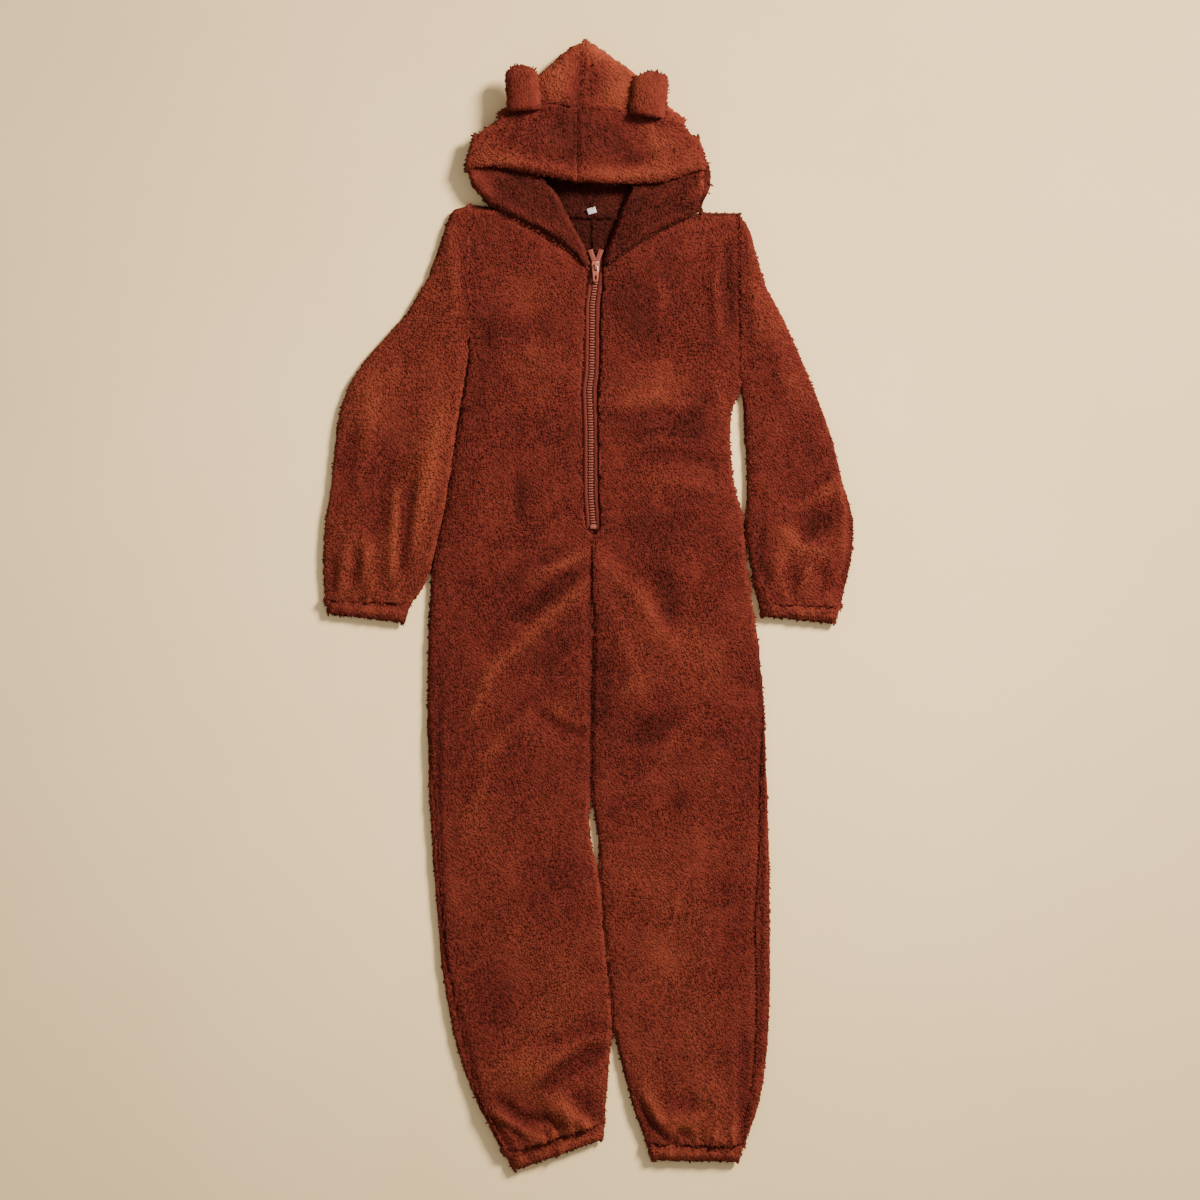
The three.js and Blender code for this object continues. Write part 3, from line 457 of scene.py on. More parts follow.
HOOD_CREASES = strokes(
    # Parting of the crown and of the brow, and the pulls beside it
    (12, -1.2, (-8, 690), (-7, 655), (-8, 622)),
    (10, -0.9, (-14, 618), (-14, 575), (-14, 540)),
    (14, 2.4, (-34, 668), (-44, 640), (-46, 628)),
    (14, 2.2, (16, 668), (30, 646), (34, 628)),
    (9, -1.8, (-46, 606), (-34, 586), (-30, 562)),
    (10, -2.0, (24, 602), (34, 582), (42, 556)),
    (9, 2.0, (-78, 604), (-88, 580), (-96, 562)),
    (9, 2.0, (70, 598), (80, 578), (86, 560)),
    (8, 3.0, (-140, 550), (-100, 555), (-50, 545), (-14, 538), (36, 535), (90, 538), (134, 552)),
    (7, -1.8, (-120, 570), (-80, 566), (-40, 558)),
    (7, -1.8, (110, 566), (70, 556), (30, 550)),
)
BAND_CREASES = strokes(
    # The band stands up between its seam and its hem
    (7, 2.4, (-96, -699), (-36, -678), (24, -656)),
    (7, 2.4, (74, -682), (132, -684), (196, -684)),
    (7, 2.2, (-336, 1), (-278, -5), (-222, -11)),
    (7, 2.2, (208, -4), (262, -7), (320, -13)),
)
BAND_CREASES += gathers((-94, -704), (20, -664), 18, 9, 1.3, seed=7)
BAND_CREASES += gathers((76, -690), (192, -692), 18, 9, 1.3, seed=8)
BAND_CREASES += gathers((-330, -8), (-229, -20), 16, 8, 1.2, seed=9)
BAND_CREASES += gathers((213, -11), (313, -21), 16, 8, 1.2, seed=10)
CHEEK_CREASES = strokes(
    # The rim rolls round the side of the opening
    (8, 4.6, (-147, 541), (-142, 531), (-131, 520), (-118, 510)),
    (8, 4.6, (146, 541), (143, 528), (132, 514), (118, 503)),
    (8, -1.6, (-118, 556), (-84, 532), (-48, 500)),
    (6, 1.8, (-108, 500), (-72, 484), (-38, 466)),
    (8, -1.6, (108, 556), (84, 530), (56, 498)),
    (6, 1.8, (112, 488), (84, 476), (52, 456)),
)
# Similar folds on the underside, pressed by the floor, so only troughs
UNDER_CREASES = strokes(
    (9, 1.6, (-60, 330), (-30, 180), (-52, 60)),
    (8, 1.4, (70, 390), (96, 240), (88, 120)),
    (10, 1.8, (6, 80), (-60, 20), (-130, -60)),
    (9, 1.6, (12, 40), (70, -20), (140, -60)),
    (12, 1.4, (-80, -220), (-110, -340), (-100, -460)),
    (12, 1.4, (120, -240), (90, -360), (110, -480)),
    (7, 2.0, (-90, -560), (-60, -610), (-70, -650)),
    (7, 2.0, (100, -590), (120, -630), (110, -670)),
    (8, 1.4, (-230, 300), (-250, 180), (-270, 60)),
    (8, 1.4, (240, 280), (262, 170), (270, 60)),
    (9, 1.4, (-40, 660), (-44, 600), (-30, 540)),
    (9, 1.4, (36, 650), (50, 590), (30, 530)),
    (7, 1.8, (-140, 440), (-120, 400), (-126, 340)),
)

# Where the pile is painted lighter or darker, as brushed nap and as painted highlights on ridges and painted
# shade in troughs: width, amount, points
BRUSHED_AND_SHADED = strokes(
    # Hood
    (17, -1.1, (-8, 676), (-7, 648), (-9, 622)),
    (13, -0.5, (10, 668), (16, 650)),
    (20, 0.9, (-30, 690), (-44, 664), (-58, 640)),
    (16, 1.0, (-12, 704), (4, 700), (22, 684)),
    (20, 0.8, (46, 668), (62, 648), (82, 626)),
    (18, 0.7, (26, 640), (36, 626)),
    (15, -0.9, (-14, 614), (-15, 580), (-16, 552)),
    (19, -0.8, (-50, 608), (-34, 592), (-28, 566)),
    (20, -0.9, (18, 606), (26, 584), (34, 562)),
    (12, -0.8, (46, 576), (54, 560), (58, 548)),
    (14, 0.9, (-132, 556), (-108, 562), (-84, 560)),
    (14, 0.9, (10, 540), (50, 541), (92, 548)),
    (20, 0.9, (76, 592), (92, 574), (100, 556)),
    (14, 0.7, (124, 570), (132, 556)),
    (10, 0.9, (146, 548), (147, 532), (140, 514)),
    (18, 0.6, (-120, 590), (-136, 566), (-142, 548)),
    (14, -0.7, (-100, 588), (-76, 590)),
    # Seams: below the zip, crown to brow, and the sides of the legs
    (3, -1.2, (6, 98), (4, 40), (3, -40), (3, -140), (2, -236)),
    (2.6, -0.9, (-97, 613), (-49, 628), (-8, 622), (54, 617), (101, 604), (128, 596)),
    (3.5, -1.0, (-184, -60), (-188, -240), (-180, -430), (-159, -520), (-133, -622), (-95, -682)),
    (3.5, -1.0, (210, -42), (217, -163), (214, -344), (213, -478), (210, -565), (196, -646), (187, -682)),
    # Front, above the waist
    (26, 0.6, (-96, 404), (-60, 392), (-34, 404)),
    (24, -0.7, (-128, 366), (-110, 342), (-122, 316)),
    (26, 0.6, (-104, 300), (-70, 306), (-40, 296)),
    (22, -0.6, (-40, 346), (-66, 348)),
    (20, 0.5, (-36, 268), (-88, 250)),
    (12, -0.7, (-88, 164), (-86, 112)),
    (26, 0.5, (-120, 176), (-118, 110)),
    (30, -0.9, (36, 400), (70, 366), (60, 330)),
    (26, -0.6, (96, 440), (84, 404)),
    (14, -0.8, (176, 440), (174, 380), (176, 340)),
    (30, 0.6, (40, 266), (92, 280), (128, 262)),
    (18, -0.8, (140, 268), (128, 226), (142, 200)),
    (20, -0.5, (44, 226), (88, 214), (132, 218)),
    (28, 0.4, (60, 170), (110, 150)),
    (26, -0.6, (54, 110), (96, 96), (130, 110)),
    # Crotch and thighs
    (17, -1.0, (-20, 44), (-56, 12), (-96, -22)),
    (16, -0.7, (-34, 70), (-72, 48), (-110, 24)),
    (9, 0.9, (-6, 66), (-44, 46), (-82, 38)),
    (9, 1.0, (-4, 28), (-62, -24), (-122, -80), (-150, -144)),
    (22, -0.6, (-30, -40), (-50, -70), (-64, -60)),
    (16, -0.7, (-60, -110), (-92, -140), (-118, -176)),
    (12, 0.7, (-70, -128), (-108, -162), (-140, -204)),
    (24, 0.4, (-40, -118), (-20, -128)),
    (18, -0.9, (84, 62), (98, 10), (96, -30)),
    (12, -0.7, (30, 72), (52, 66)),
    (14, -0.8, (20, -60), (22, -100), (18, -150)),
    (24, 0.7, (120, -20), (148, -56), (160, -96)),
    (16, 0.6, (44, -92), (62, -110)),
    (20, -1.0, (92, -134), (74, -164), (80, -190)),
    (12, -0.8, (108, -186), (130, -196)),
    (20, 0.8, (60, -204), (100, -196), (140, -200)),
    (12, -0.9, (106, -236), (124, -246)),
    (12, -0.8, (22, -252), (34, -262)),
    (14, -0.6, (156, -180), (162, -150)),
    # Shins
    (22, 0.5, (-140, -260), (-120, -310)),
    (26, -0.5, (-20, -300), (-40, -340), (-60, -330)),
    (20, -0.7, (-74, -356), (-60, -380)),
    (26, 0.5, (-100, -400), (-70, -440)),
    (22, -0.7, (-128, -452), (-108, -500), (-124, -540)),
    (30, 0.8, (-20, -450), (-36, -490), (-70, -530)),
    (30, 0.6, (70, -340), (100, -360), (130, -400)),
    (30, 0.7, (80, -420), (110, -450), (100, -490)),
    (20, -0.6, (170, -330), (180, -400), (182, -460)),
    (24, 0.5, (140, -500), (120, -560)),
    (16, -0.9, (10, -557), (-40, -585), (-66, -612)),
    (10, -1.2, (-114, -612), (-90, -636), (-56, -636)),
    (14, -0.8, (-20, -604), (8, -640)),
    (14, 0.9, (-74, -600), (-52, -628), (-22, -646)),
    (16, 0.7, (-108, -560), (-124, -596)),
    (14, -0.9, (100, -624), (134, -632)),
    (14, 0.6, (70, -560), (80, -600)),
    (12, -0.8, (188, -540), (188, -640)),
    # Sleeves
    (14, 0.8, (-188, 248), (-200, 180), (-218, 90)),
    (8, 1.0, (-242, 144), (-247, 40)),
    (9, -1.0, (-226, 150), (-232, 56)),
    (18, -0.8, (-256, 196), (-266, 120), (-262, 70)),
    (24, 0.7, (-262, 290), (-276, 250)),
    (22, -0.5, (-160, 470), (-176, 430)),
    (16, -0.5, (-306, 190), (-304, 120)),
    (22, -0.5, (240, 330), (232, 290)),
    (24, 0.5, (220, 380), (240, 340)),
    (20, -0.7, (264, 190), (290, 196)),
    (14, -1.0, (264, 86), (300, 112)),
    (18, 0.7, (244, 96), (256, 74)),
    (16, 0.5, (282, 140), (308, 150)),
    (12, -0.6, (216, 60), (224, 40)),
)

ZIP_LINE = ((9, 430), (9, 408), (5, 378), (4, 293), (1, 271), (3, 221), (3, 139), (6, 102))
LABEL_CLEAR = (-4.0, 10.5, 485.0, 498.5)
LIGHT_WAY = Vector((0.62, 0.52, 0.0))


def zip_x(y: np.ndarray | float) -> np.ndarray | float:
    """Place of the zip's middle across the garment at a level, in millimetres."""
    levels = [row[1] for row in reversed(ZIP_LINE)]
    return np.interp(y, levels, [row[0] for row in reversed(ZIP_LINE)])


@dataclass(frozen=True)
class PileFinish:
    """Teddy fleece: polyester knit, its pile raised and tumbled into short curled locks.

    It is matt with a soft bright rim. Each lock is painted darker towards its root, as painted shade within the
    pile, and painted shade falls where the pile is brushed towards the light.
    """

    name: str = "teddy fleece pile"
    hidden: str = "#270d0b"
    deep: str = "#431a15"
    middle: str = "#6d2c24"
    bright: str = "#964a34"
    rim: str = "#dc8a66"
    brushed_and_shaded: float = 0.2
    mottle: float = 0.28
    clump_mm: float = 9.0
    yarn: float = 0.15
    root_shade: float = 0.86
    scatter: float = 0.78
    fibre_mm: float = 0.7

    def ramp(self, tree: bpy.types.NodeTree, share: bpy.types.NodeSocket) -> bpy.types.Node:
        """Adds the run of colours from deep to bright.

        Args:
            tree: Material's tree.
            share: Output socket, 0 for deep and 1 for bright.

        Returns:
            The colour ramp.
        """
        node = add(tree, "ShaderNodeValToRGB", inputs={"Fac": share})
        stops = node.color_ramp.elements
        stops[0].position, stops[0].color = 0.0, linear(self.hidden)
        stops[1].position, stops[1].color = 1.0, linear(self.bright)
        stops.new(0.22).color = linear(self.deep)
        stops.new(0.5).color = linear(self.middle)
        return node

    def tone(self, tree: bpy.types.NodeTree, yarn: float) -> bpy.types.NodeSocket:
        """Adds the tone of each place from the brushed patches with their painted light and shade, each lock's
        own yarn and a faint mottle.

        Args:
            tree: Material's tree.
            yarn: How far one lock differs from the next.

        Returns:
            Output socket, 0 for deep and 1 for bright.
        """
        place = add(tree, "ShaderNodeTexCoord")
        brushed_and_shaded = add(tree, "ShaderNodeAttribute", {"attribute_name": "tone"})
        tint = add(tree, "ShaderNodeAttribute", {"attribute_name": "lock_tint"})
        mottle = add(tree, "ShaderNodeTexNoise", inputs={
            "Vector": out(place, "Object"), "Scale": 1 / (self.clump_mm * MM), "Detail": 3.0, "Roughness": 0.6})
        own = maths(tree, "MULTIPLY_ADD", out(tint, "Fac"), yarn, 0.5 - yarn / 2)
        patch = maths(tree, "MULTIPLY_ADD", out(brushed_and_shaded, "Fac"), self.brushed_and_shaded, own)
        fine = maths(tree, "MULTIPLY_ADD", out(mottle, "Fac"), self.mottle, -self.mottle / 2)
        return maths(tree, "ADD", patch, fine, clamp=True)

    def shader(self, tree: bpy.types.NodeTree, colour: bpy.types.NodeSocket,
               normal: bpy.types.NodeSocket) -> None:
        """Adds the matt shader with the fibres' sheen and the material's output.

        Args:
            tree: Material's tree.
            colour: Output socket of the colour.
            normal: Output socket of the bump.
        """
        close_material(tree, {
            "Base Color": colour, "Roughness": 0.92, "IOR": 1.5, "Specular IOR Level": 0.08,
            "Sheen Weight": 0.14, "Sheen Roughness": 0.45, "Sheen Tint": linear(self.rim), "Normal": normal})

    def build(self) -> bpy.types.Material:
        """Returns the material of the locks."""
        material = new_material(self.name)
        tree = material.node_tree
        colour = self.ramp(tree, self.tone(tree, self.yarn))
        # Painted shade at the roots: each lock's colour is darkened towards its foot
        height = add(tree, "ShaderNodeAttribute", {"attribute_name": "along"})
        lit = add(tree, "ShaderNodeMapRange", inputs={
            "Value": out(height, "Fac"), "From Min": 0.0, "From Max": 0.7, "To Min": self.root_shade, "To Max": 1.0})
        root_shaded = multiplied(tree, out(colour, "Color"), out(lit))
        place = add(tree, "ShaderNodeTexCoord")
        fibre = add(tree, "ShaderNodeTexNoise", inputs={
            "Vector": out(place, "Object"), "Scale": 1 / (self.fibre_mm * MM), "Detail": 2.0})
        # Fibres scatter light, so a lock is lit partly as the cloth under it is
        ground = add(tree, "ShaderNodeAttribute", {"attribute_name": "ground"})
        own = add(tree, "ShaderNodeNewGeometry")
        mixed = add(tree, "ShaderNodeMix", {"data_type": "VECTOR"}, {
            "Factor": self.scatter, "A": out(own, "Normal"), "B": out(ground, "Vector")})
        lit_way = add(tree, "ShaderNodeVectorMath", {"operation": "NORMALIZE"}, {0: out(mixed)})
        bump = add(tree, "ShaderNodeBump", inputs={
            "Strength": 0.25, "Distance": 0.4 * MM, "Height": out(fibre, "Fac"), "Normal": out(lit_way)})
        self.shader(tree, root_shaded, out(bump))
        return material


@dataclass(frozen=True)
class GroundFinish(PileFinish):
    """Knitted ground of the fleece, seen between the locks: shaded, with the matted foot of the pile."""

    name: str = "knitted fleece ground"
    foot_mm: float = 2.6
    wander_mm: float = 2.4

    def build(self) -> bpy.types.Material:
        """Returns the material of the shells."""
        material = new_material(self.name)
        tree = material.node_tree
        place = add(tree, "ShaderNodeTexCoord")
        wander = add(tree, "ShaderNodeTexNoise", inputs={
            "Vector": out(place, "Object"), "Scale": 1 / (3.4 * MM), "Detail": 1.0})
        shifted = add(tree, "ShaderNodeVectorMath", {"operation": "MULTIPLY_ADD"}, {
            0: out(wander, "Color"), 1: (self.wander_mm * MM,) * 3, 2: out(place, "Object")})
        matted = add(tree, "ShaderNodeTexVoronoi", {"feature": "SMOOTH_F1"}, {
            "Vector": out(shifted), "Scale": 1 / (self.foot_mm * MM), "Smoothness": 0.5})
        colour = self.ramp(tree, self.tone(tree, yarn=0.0))
        # Painted shade in the grooves between the matted clumps
        shade = add(tree, "ShaderNodeMapRange", inputs={
            "Value": out(matted, "Distance"), "From Min": 0.0, "From Max": 0.8, "To Min": 1.0, "To Max": 0.82})
        height = maths(tree, "SUBTRACT", 1.0, out(matted, "Distance"))
        self.shader(tree, multiplied(tree, out(colour, "Color"), out(shade)), relief(tree, height, 0.8, 1.2))
        return material


@dataclass(frozen=True)
class TapeFinish:
    """Woven polyester zip tape: a fine twill, faintly glossy, with a smooth flat face."""

    name: str = "woven zip tape"
    warp: str = "#6e2c23"
    weft: str = "#561f18"
    thread_mm: float = 0.9

    def build(self) -> bpy.types.Material:
        """Returns the material; a real thread is 0.3 mm, drawn three times as coarse, so that it shows."""
        material = new_material(self.name)
        tree = material.node_tree
        place = add(tree, "ShaderNodeTexCoord")
        turned = add(tree, "ShaderNodeMapping", inputs={
            "Vector": out(place, "Object"), "Rotation": (0.0, 0.0, math.radians(55))})
        twill = add(tree, "ShaderNodeTexWave", {"wave_type": "BANDS", "bands_direction": "X"}, {
            "Vector": out(turned), "Scale": WAVE / (self.thread_mm * MM), "Distortion": 0.6, "Detail": 1.0})
        worn = add(tree, "ShaderNodeTexNoise", inputs={
            "Vector": out(place, "Object"), "Scale": 1 / (14 * MM), "Detail": 2.0})
        share = maths(tree, "MULTIPLY_ADD", out(worn, "Fac"), 0.5, out(twill, "Fac"), clamp=True)
        close_material(tree, {
            "Base Color": blended(tree, share, self.weft, self.warp), "Roughness": 0.8,
            "Specular IOR Level": 0.2, "Sheen Weight": 0.08, "Sheen Roughness": 0.4,
            "Normal": relief(tree, out(twill, "Fac"), 0.4, 0.3)})
        return material


@dataclass(frozen=True)
class MouldedFinish:
    """Moulded or lacquered zip hardware: dusty rose, half gloss, with faint flow marks, paler and rougher in
    places.
    """

    name: str
    colour: str
    paler: str
    roughness: float = 0.38

    def build(self) -> bpy.types.Material:
        """Returns the material."""
        material = new_material(self.name)
        tree = material.node_tree
        place = add(tree, "ShaderNodeTexCoord")
        flow = add(tree, "ShaderNodeTexNoise", inputs={
            "Vector": out(place, "Object"), "Scale": 1 / (3 * MM), "Detail": 3.0})
        gloss = add(tree, "ShaderNodeMapRange", inputs={
            "Value": out(flow, "Fac"), "To Min": self.roughness - 0.1, "To Max": self.roughness + 0.12})
        close_material(tree, {
            "Base Color": blended(tree, out(flow, "Fac"), self.colour, self.paler), "Roughness": out(gloss),
            "Metallic": 0.0, "IOR": 1.5, "Coat Weight": 0.25, "Coat Roughness": 0.2,
            "Normal": relief(tree, out(flow, "Fac"), 0.2, 0.08)})
        return material


@dataclass(frozen=True)
class SatinFinish:
    """Satin label ribbon: near white, its long floats giving a soft gloss. It carries no print.

    The floats are drawn coarser than real ones, so that they show.
    """

    name: str = "satin label ribbon"
    colour: str = "#dcd6d8"
    shade: str = "#bfb8bb"
    float_mm: float = 0.5

    def build(self) -> bpy.types.Material:
        """Returns the material."""
        material = new_material(self.name)
        tree = material.node_tree
        place = add(tree, "ShaderNodeTexCoord")
        floats = add(tree, "ShaderNodeTexWave", {"wave_type": "BANDS", "bands_direction": "Y"}, {
            "Vector": out(place, "Object"), "Scale": WAVE / (self.float_mm * MM), "Distortion": 1.0})
        close_material(tree, {
            "Base Color": blended(tree, out(floats, "Fac"), self.shade, self.colour), "Roughness": 0.42,
            "IOR": 1.5, "Normal": relief(tree, out(floats, "Fac"), 0.25, 0.1)})
        return material


@dataclass(frozen=True)
class PlasterFinish:
    """Pale plaster board under the garment: matt, warm, with a faint trowelled mottle."""

    name: str = "pale plaster board"
    light: str = "#fbe2b2"
    dark: str = "#f1d4a0"

    def build(self) -> bpy.types.Material:
        """Returns the material."""
        material = new_material(self.name)
        tree = material.node_tree
        place = add(tree, "ShaderNodeTexCoord")
        broad = add(tree, "ShaderNodeTexNoise", inputs={
            "Vector": out(place, "Object"), "Scale": 3.0, "Detail": 4.0, "Roughness": 0.6})
        fine = add(tree, "ShaderNodeTexNoise", inputs={
            "Vector": out(place, "Object"), "Scale": 1 / (6 * MM), "Detail": 4.0})
        # Painted light: a pool of light painted paler in the middle, fading towards the edges; distances are in
        # metres
        away = add(tree, "ShaderNodeVectorMath", {"operation": "LENGTH"}, {0: out(place, "Object")})
        paler = add(tree, "ShaderNodeMapRange", {"interpolation_type": "SMOOTHSTEP"}, {
            "Value": out(away, "Value"), "From Min": 0.25, "From Max": 1.15, "To Min": 1.3, "To Max": 0.95})
        colour = multiplied(tree, blended(tree, out(broad, "Fac"), self.dark, self.light), out(paler))
        close_material(tree, {
            "Base Color": colour, "Roughness": 0.9, "Specular IOR Level": 0.2,
            "Normal": relief(tree, out(fine, "Fac"), 0.25, 0.5)})
        return material


def new_material(name: str) -> bpy.types.Material:
    """Returns an empty node material of that name."""
    material = bpy.data.materials.new(name)
    material.use_nodes = True
    material.node_tree.nodes.clear()
    return material


@dataclass
class PileTree:
    """Geometry tree that sets locks of pile on a shell: tapered, leaning over and curled at the tip.

    The locks are coarser than those of the real pile, so that they show at this distance.
    """

    curls: tuple[float, ...] = (-0.45, -0.12, 0.2, 0.5)
    fullness: float = 4.6

    def lock(self, tree: bpy.types.NodeTree, source: bpy.types.Node, curl: float) -> bpy.types.NodeSocket:
        """Adds one shape of lock, with its share of height kept as an attribute.

        Args:
            tree: The tree.
            source: Its input node.
            curl: How far the tip turns aside, as a share of the length.

        Returns:
            Output socket of the lock as an instance.
        """
        length = source.outputs["Lock length"]
        radius = maths(tree, "MULTIPLY", source.outputs["Lock width"], 0.5)
        cone = add(tree, "GeometryNodeMeshCone", {"fill_type": "NONE"}, {
            "Vertices": 3, "Side Segments": 2, "Radius Top": 0.0, "Radius Bottom": radius, "Depth": length})
        place = add(tree, "ShaderNodeSeparateXYZ", inputs={0: out(add(tree, "GeometryNodeInputPosition"))})
        share = maths(tree, "DIVIDE", out(place, "Z"), length, clamp=True)
        square = maths(tree, "MULTIPLY", share, share)
        marked = add(tree, "GeometryNodeStoreNamedAttribute", {"data_type": "FLOAT", "domain": "POINT"}, {
            "Geometry": out(cone, "Mesh"), "Name": "along", "Value": share})
        # Offset across, aside and down: what it takes of the share of height and of its square, in lengths
        rows = ((-0.35, -0.55), (-0.4 * curl, 1.3 * curl), (0.0, -0.66))
        parts = []
        for first, second in rows:
            bent = maths(tree, "MULTIPLY_ADD", square, second, maths(tree, "MULTIPLY", share, first))
            parts.append(maths(tree, "MULTIPLY", bent, length))
        way = add(tree, "ShaderNodeCombineXYZ", inputs=dict(enumerate(parts)))
        # The middle of a lock is as thick as its root
        fuller = maths(tree, "MULTIPLY", maths(tree, "SUBTRACT", share, square), self.fullness)
        spread = add(tree, "ShaderNodeCombineXYZ", inputs={0: out(place, "X"), 1: out(place, "Y")})
        offset = add(tree, "ShaderNodeVectorMath", {"operation": "MULTIPLY_ADD"}, {
            0: out(spread), 1: fuller, 2: out(way)})
        bent = add(tree, "GeometryNodeSetPosition", inputs={"Geometry": out(marked), "Offset": out(offset)})
        return out(add(tree, "GeometryNodeGeometryToInstance", inputs={"Geometry": out(bent)}))

    def build(self) -> bpy.types.NodeTree:
        """Returns the tree."""
        tree, source = new_tree("Teddy pile", {
            "Spacing": ("NodeSocketFloat", 2.4 * MM), "Density": ("NodeSocketFloat", 1e5),
            "Lock length": ("NodeSocketFloat", 5.4 * MM), "Lock width": ("NodeSocketFloat", 2.7 * MM),
            "Tumble": ("NodeSocketFloat", 0.62), "Seed": ("NodeSocketInt", 1),
            "Material": ("NodeSocketMaterial", None)})
        read = {}
        for name, kind in (("cover", "FLOAT"), ("press", "FLOAT"), ("nap", "FLOAT_VECTOR")):
            stored = add(tree, "GeometryNodeInputNamedAttribute", {"data_type": kind}, {"Name": name})
            read[name] = out(stored, "Attribute")
        points = add(tree, "GeometryNodeDistributePointsOnFaces", {"distribute_method": "POISSON"}, {
            "Mesh": source.outputs["Geometry"], "Distance Min": source.outputs["Spacing"],
            "Density Max": source.outputs["Density"], "Density Factor": read["cover"],
            "Seed": source.outputs["Seed"]})
        tint = add(tree, "FunctionNodeRandomValue", {"data_type": "FLOAT"}, {"Seed": 11})
        tinted = add(tree, "GeometryNodeStoreNamedAttribute", {"data_type": "FLOAT", "domain": "POINT"}, {
            "Geometry": out(points, "Points"), "Name": "lock_tint", "Value": out(tint)})
        # Light spreads through the pile, so the sides are lit as if they leaned up
        lifted = add(tree, "ShaderNodeVectorMath", {"operation": "ADD"}, {
            0: out(points, "Normal"), 1: (0.0, 0.0, 0.9)})
        grounded = add(tree, "GeometryNodeStoreNamedAttribute", {
            "data_type": "FLOAT_VECTOR", "domain": "POINT"}, {
            "Geometry": out(tinted), "Name": "ground", "Value": out(lifted)})
        astray = add(tree, "FunctionNodeRandomValue", {"data_type": "FLOAT_VECTOR"}, {
            "Min": (-1.0,) * 3, "Max": (1.0,) * 3, "Seed": 12})
        back = add(tree, "ShaderNodeVectorMath", {"operation": "SCALE"}, {0: read["nap"], "Scale": -1.0})
        strayed = add(tree, "ShaderNodeVectorMath", {"operation": "SCALE"}, {
            0: out(astray), "Scale": source.outputs["Tumble"]})
        flow = add(tree, "ShaderNodeVectorMath", {"operation": "ADD"}, {0: out(strayed), 1: out(back)})
        turned = add(tree, "FunctionNodeAlignRotationToVector", {"axis": "X", "pivot_axis": "Z"}, {
            "Rotation": out(points, "Rotation"), "Vector": out(flow)})
        joined = add(tree, "GeometryNodeJoinGeometry")
        for curl in self.curls:
            tree.links.new(self.lock(tree, source, curl), joined.inputs[0])
        choice = add(tree, "FunctionNodeRandomValue", {"data_type": "INT"}, {
            "Min": 0, "Max": len(self.curls) - 1, "Seed": 13})
        size = add(tree, "FunctionNodeRandomValue", {"data_type": "FLOAT"}, {
            "Min": 0.75, "Max": 1.2, "Seed": 14})
        low = maths(tree, "MULTIPLY", out(size), read["press"])
        scale = add(tree, "ShaderNodeCombineXYZ", inputs={0: out(size), 1: out(size), 2: low})
        placed = add(tree, "GeometryNodeInstanceOnPoints", inputs={
            "Points": out(grounded), "Instance": out(joined), "Pick Instance": True,
            "Instance Index": out(choice), "Rotation": out(turned), "Scale": out(scale)})
        end_tree(tree, out(placed), source.outputs["Material"])
        return tree


@dataclass(frozen=True)
class Cut:
    """Flat piece of cloth as a maker cuts it: its rectangle, and the share of it that the piece fills."""

    wide: float
    long: float
    share: float


# How far other cloth is looked for, and the room over which a face turns from covered to open, where it is
# steep and where it lies flat; cloth beside a steep face counts as close over the last of these runs
REACH = 14.0
STEEP_ROOM = (0.5, 1.2)
FLAT_ROOM = (2.0, 4.5)
CLOSE_ROOM = (4.0, 10.0)
# Wall that a trough leaves, and the lowest that the shell may lie over the floor
LEAST_LEFT = 1.0
LEAST_LEVEL = 0.3
# Sizes of the cloth's uneven clumps and of the pile's drifts and curls
CLUMPS = (14, 40)
DRIFT, CURL = 46, 11
# What the set way, the drift, the curl and a nearby seam each add to the way that the pile lies
NAP_SHARE, DRIFT_SHARE, CURL_SHARE, SEAM_SHARE = 0.8, 1.1, 0.75, 1.5
# Levels between which the hood's lining is seen inside it, and between which the lower legs grow paler
LINING_FROM = (425, 460)
LINING_UNDER = (7, 9)
PALER_BELOW = (180, 300)


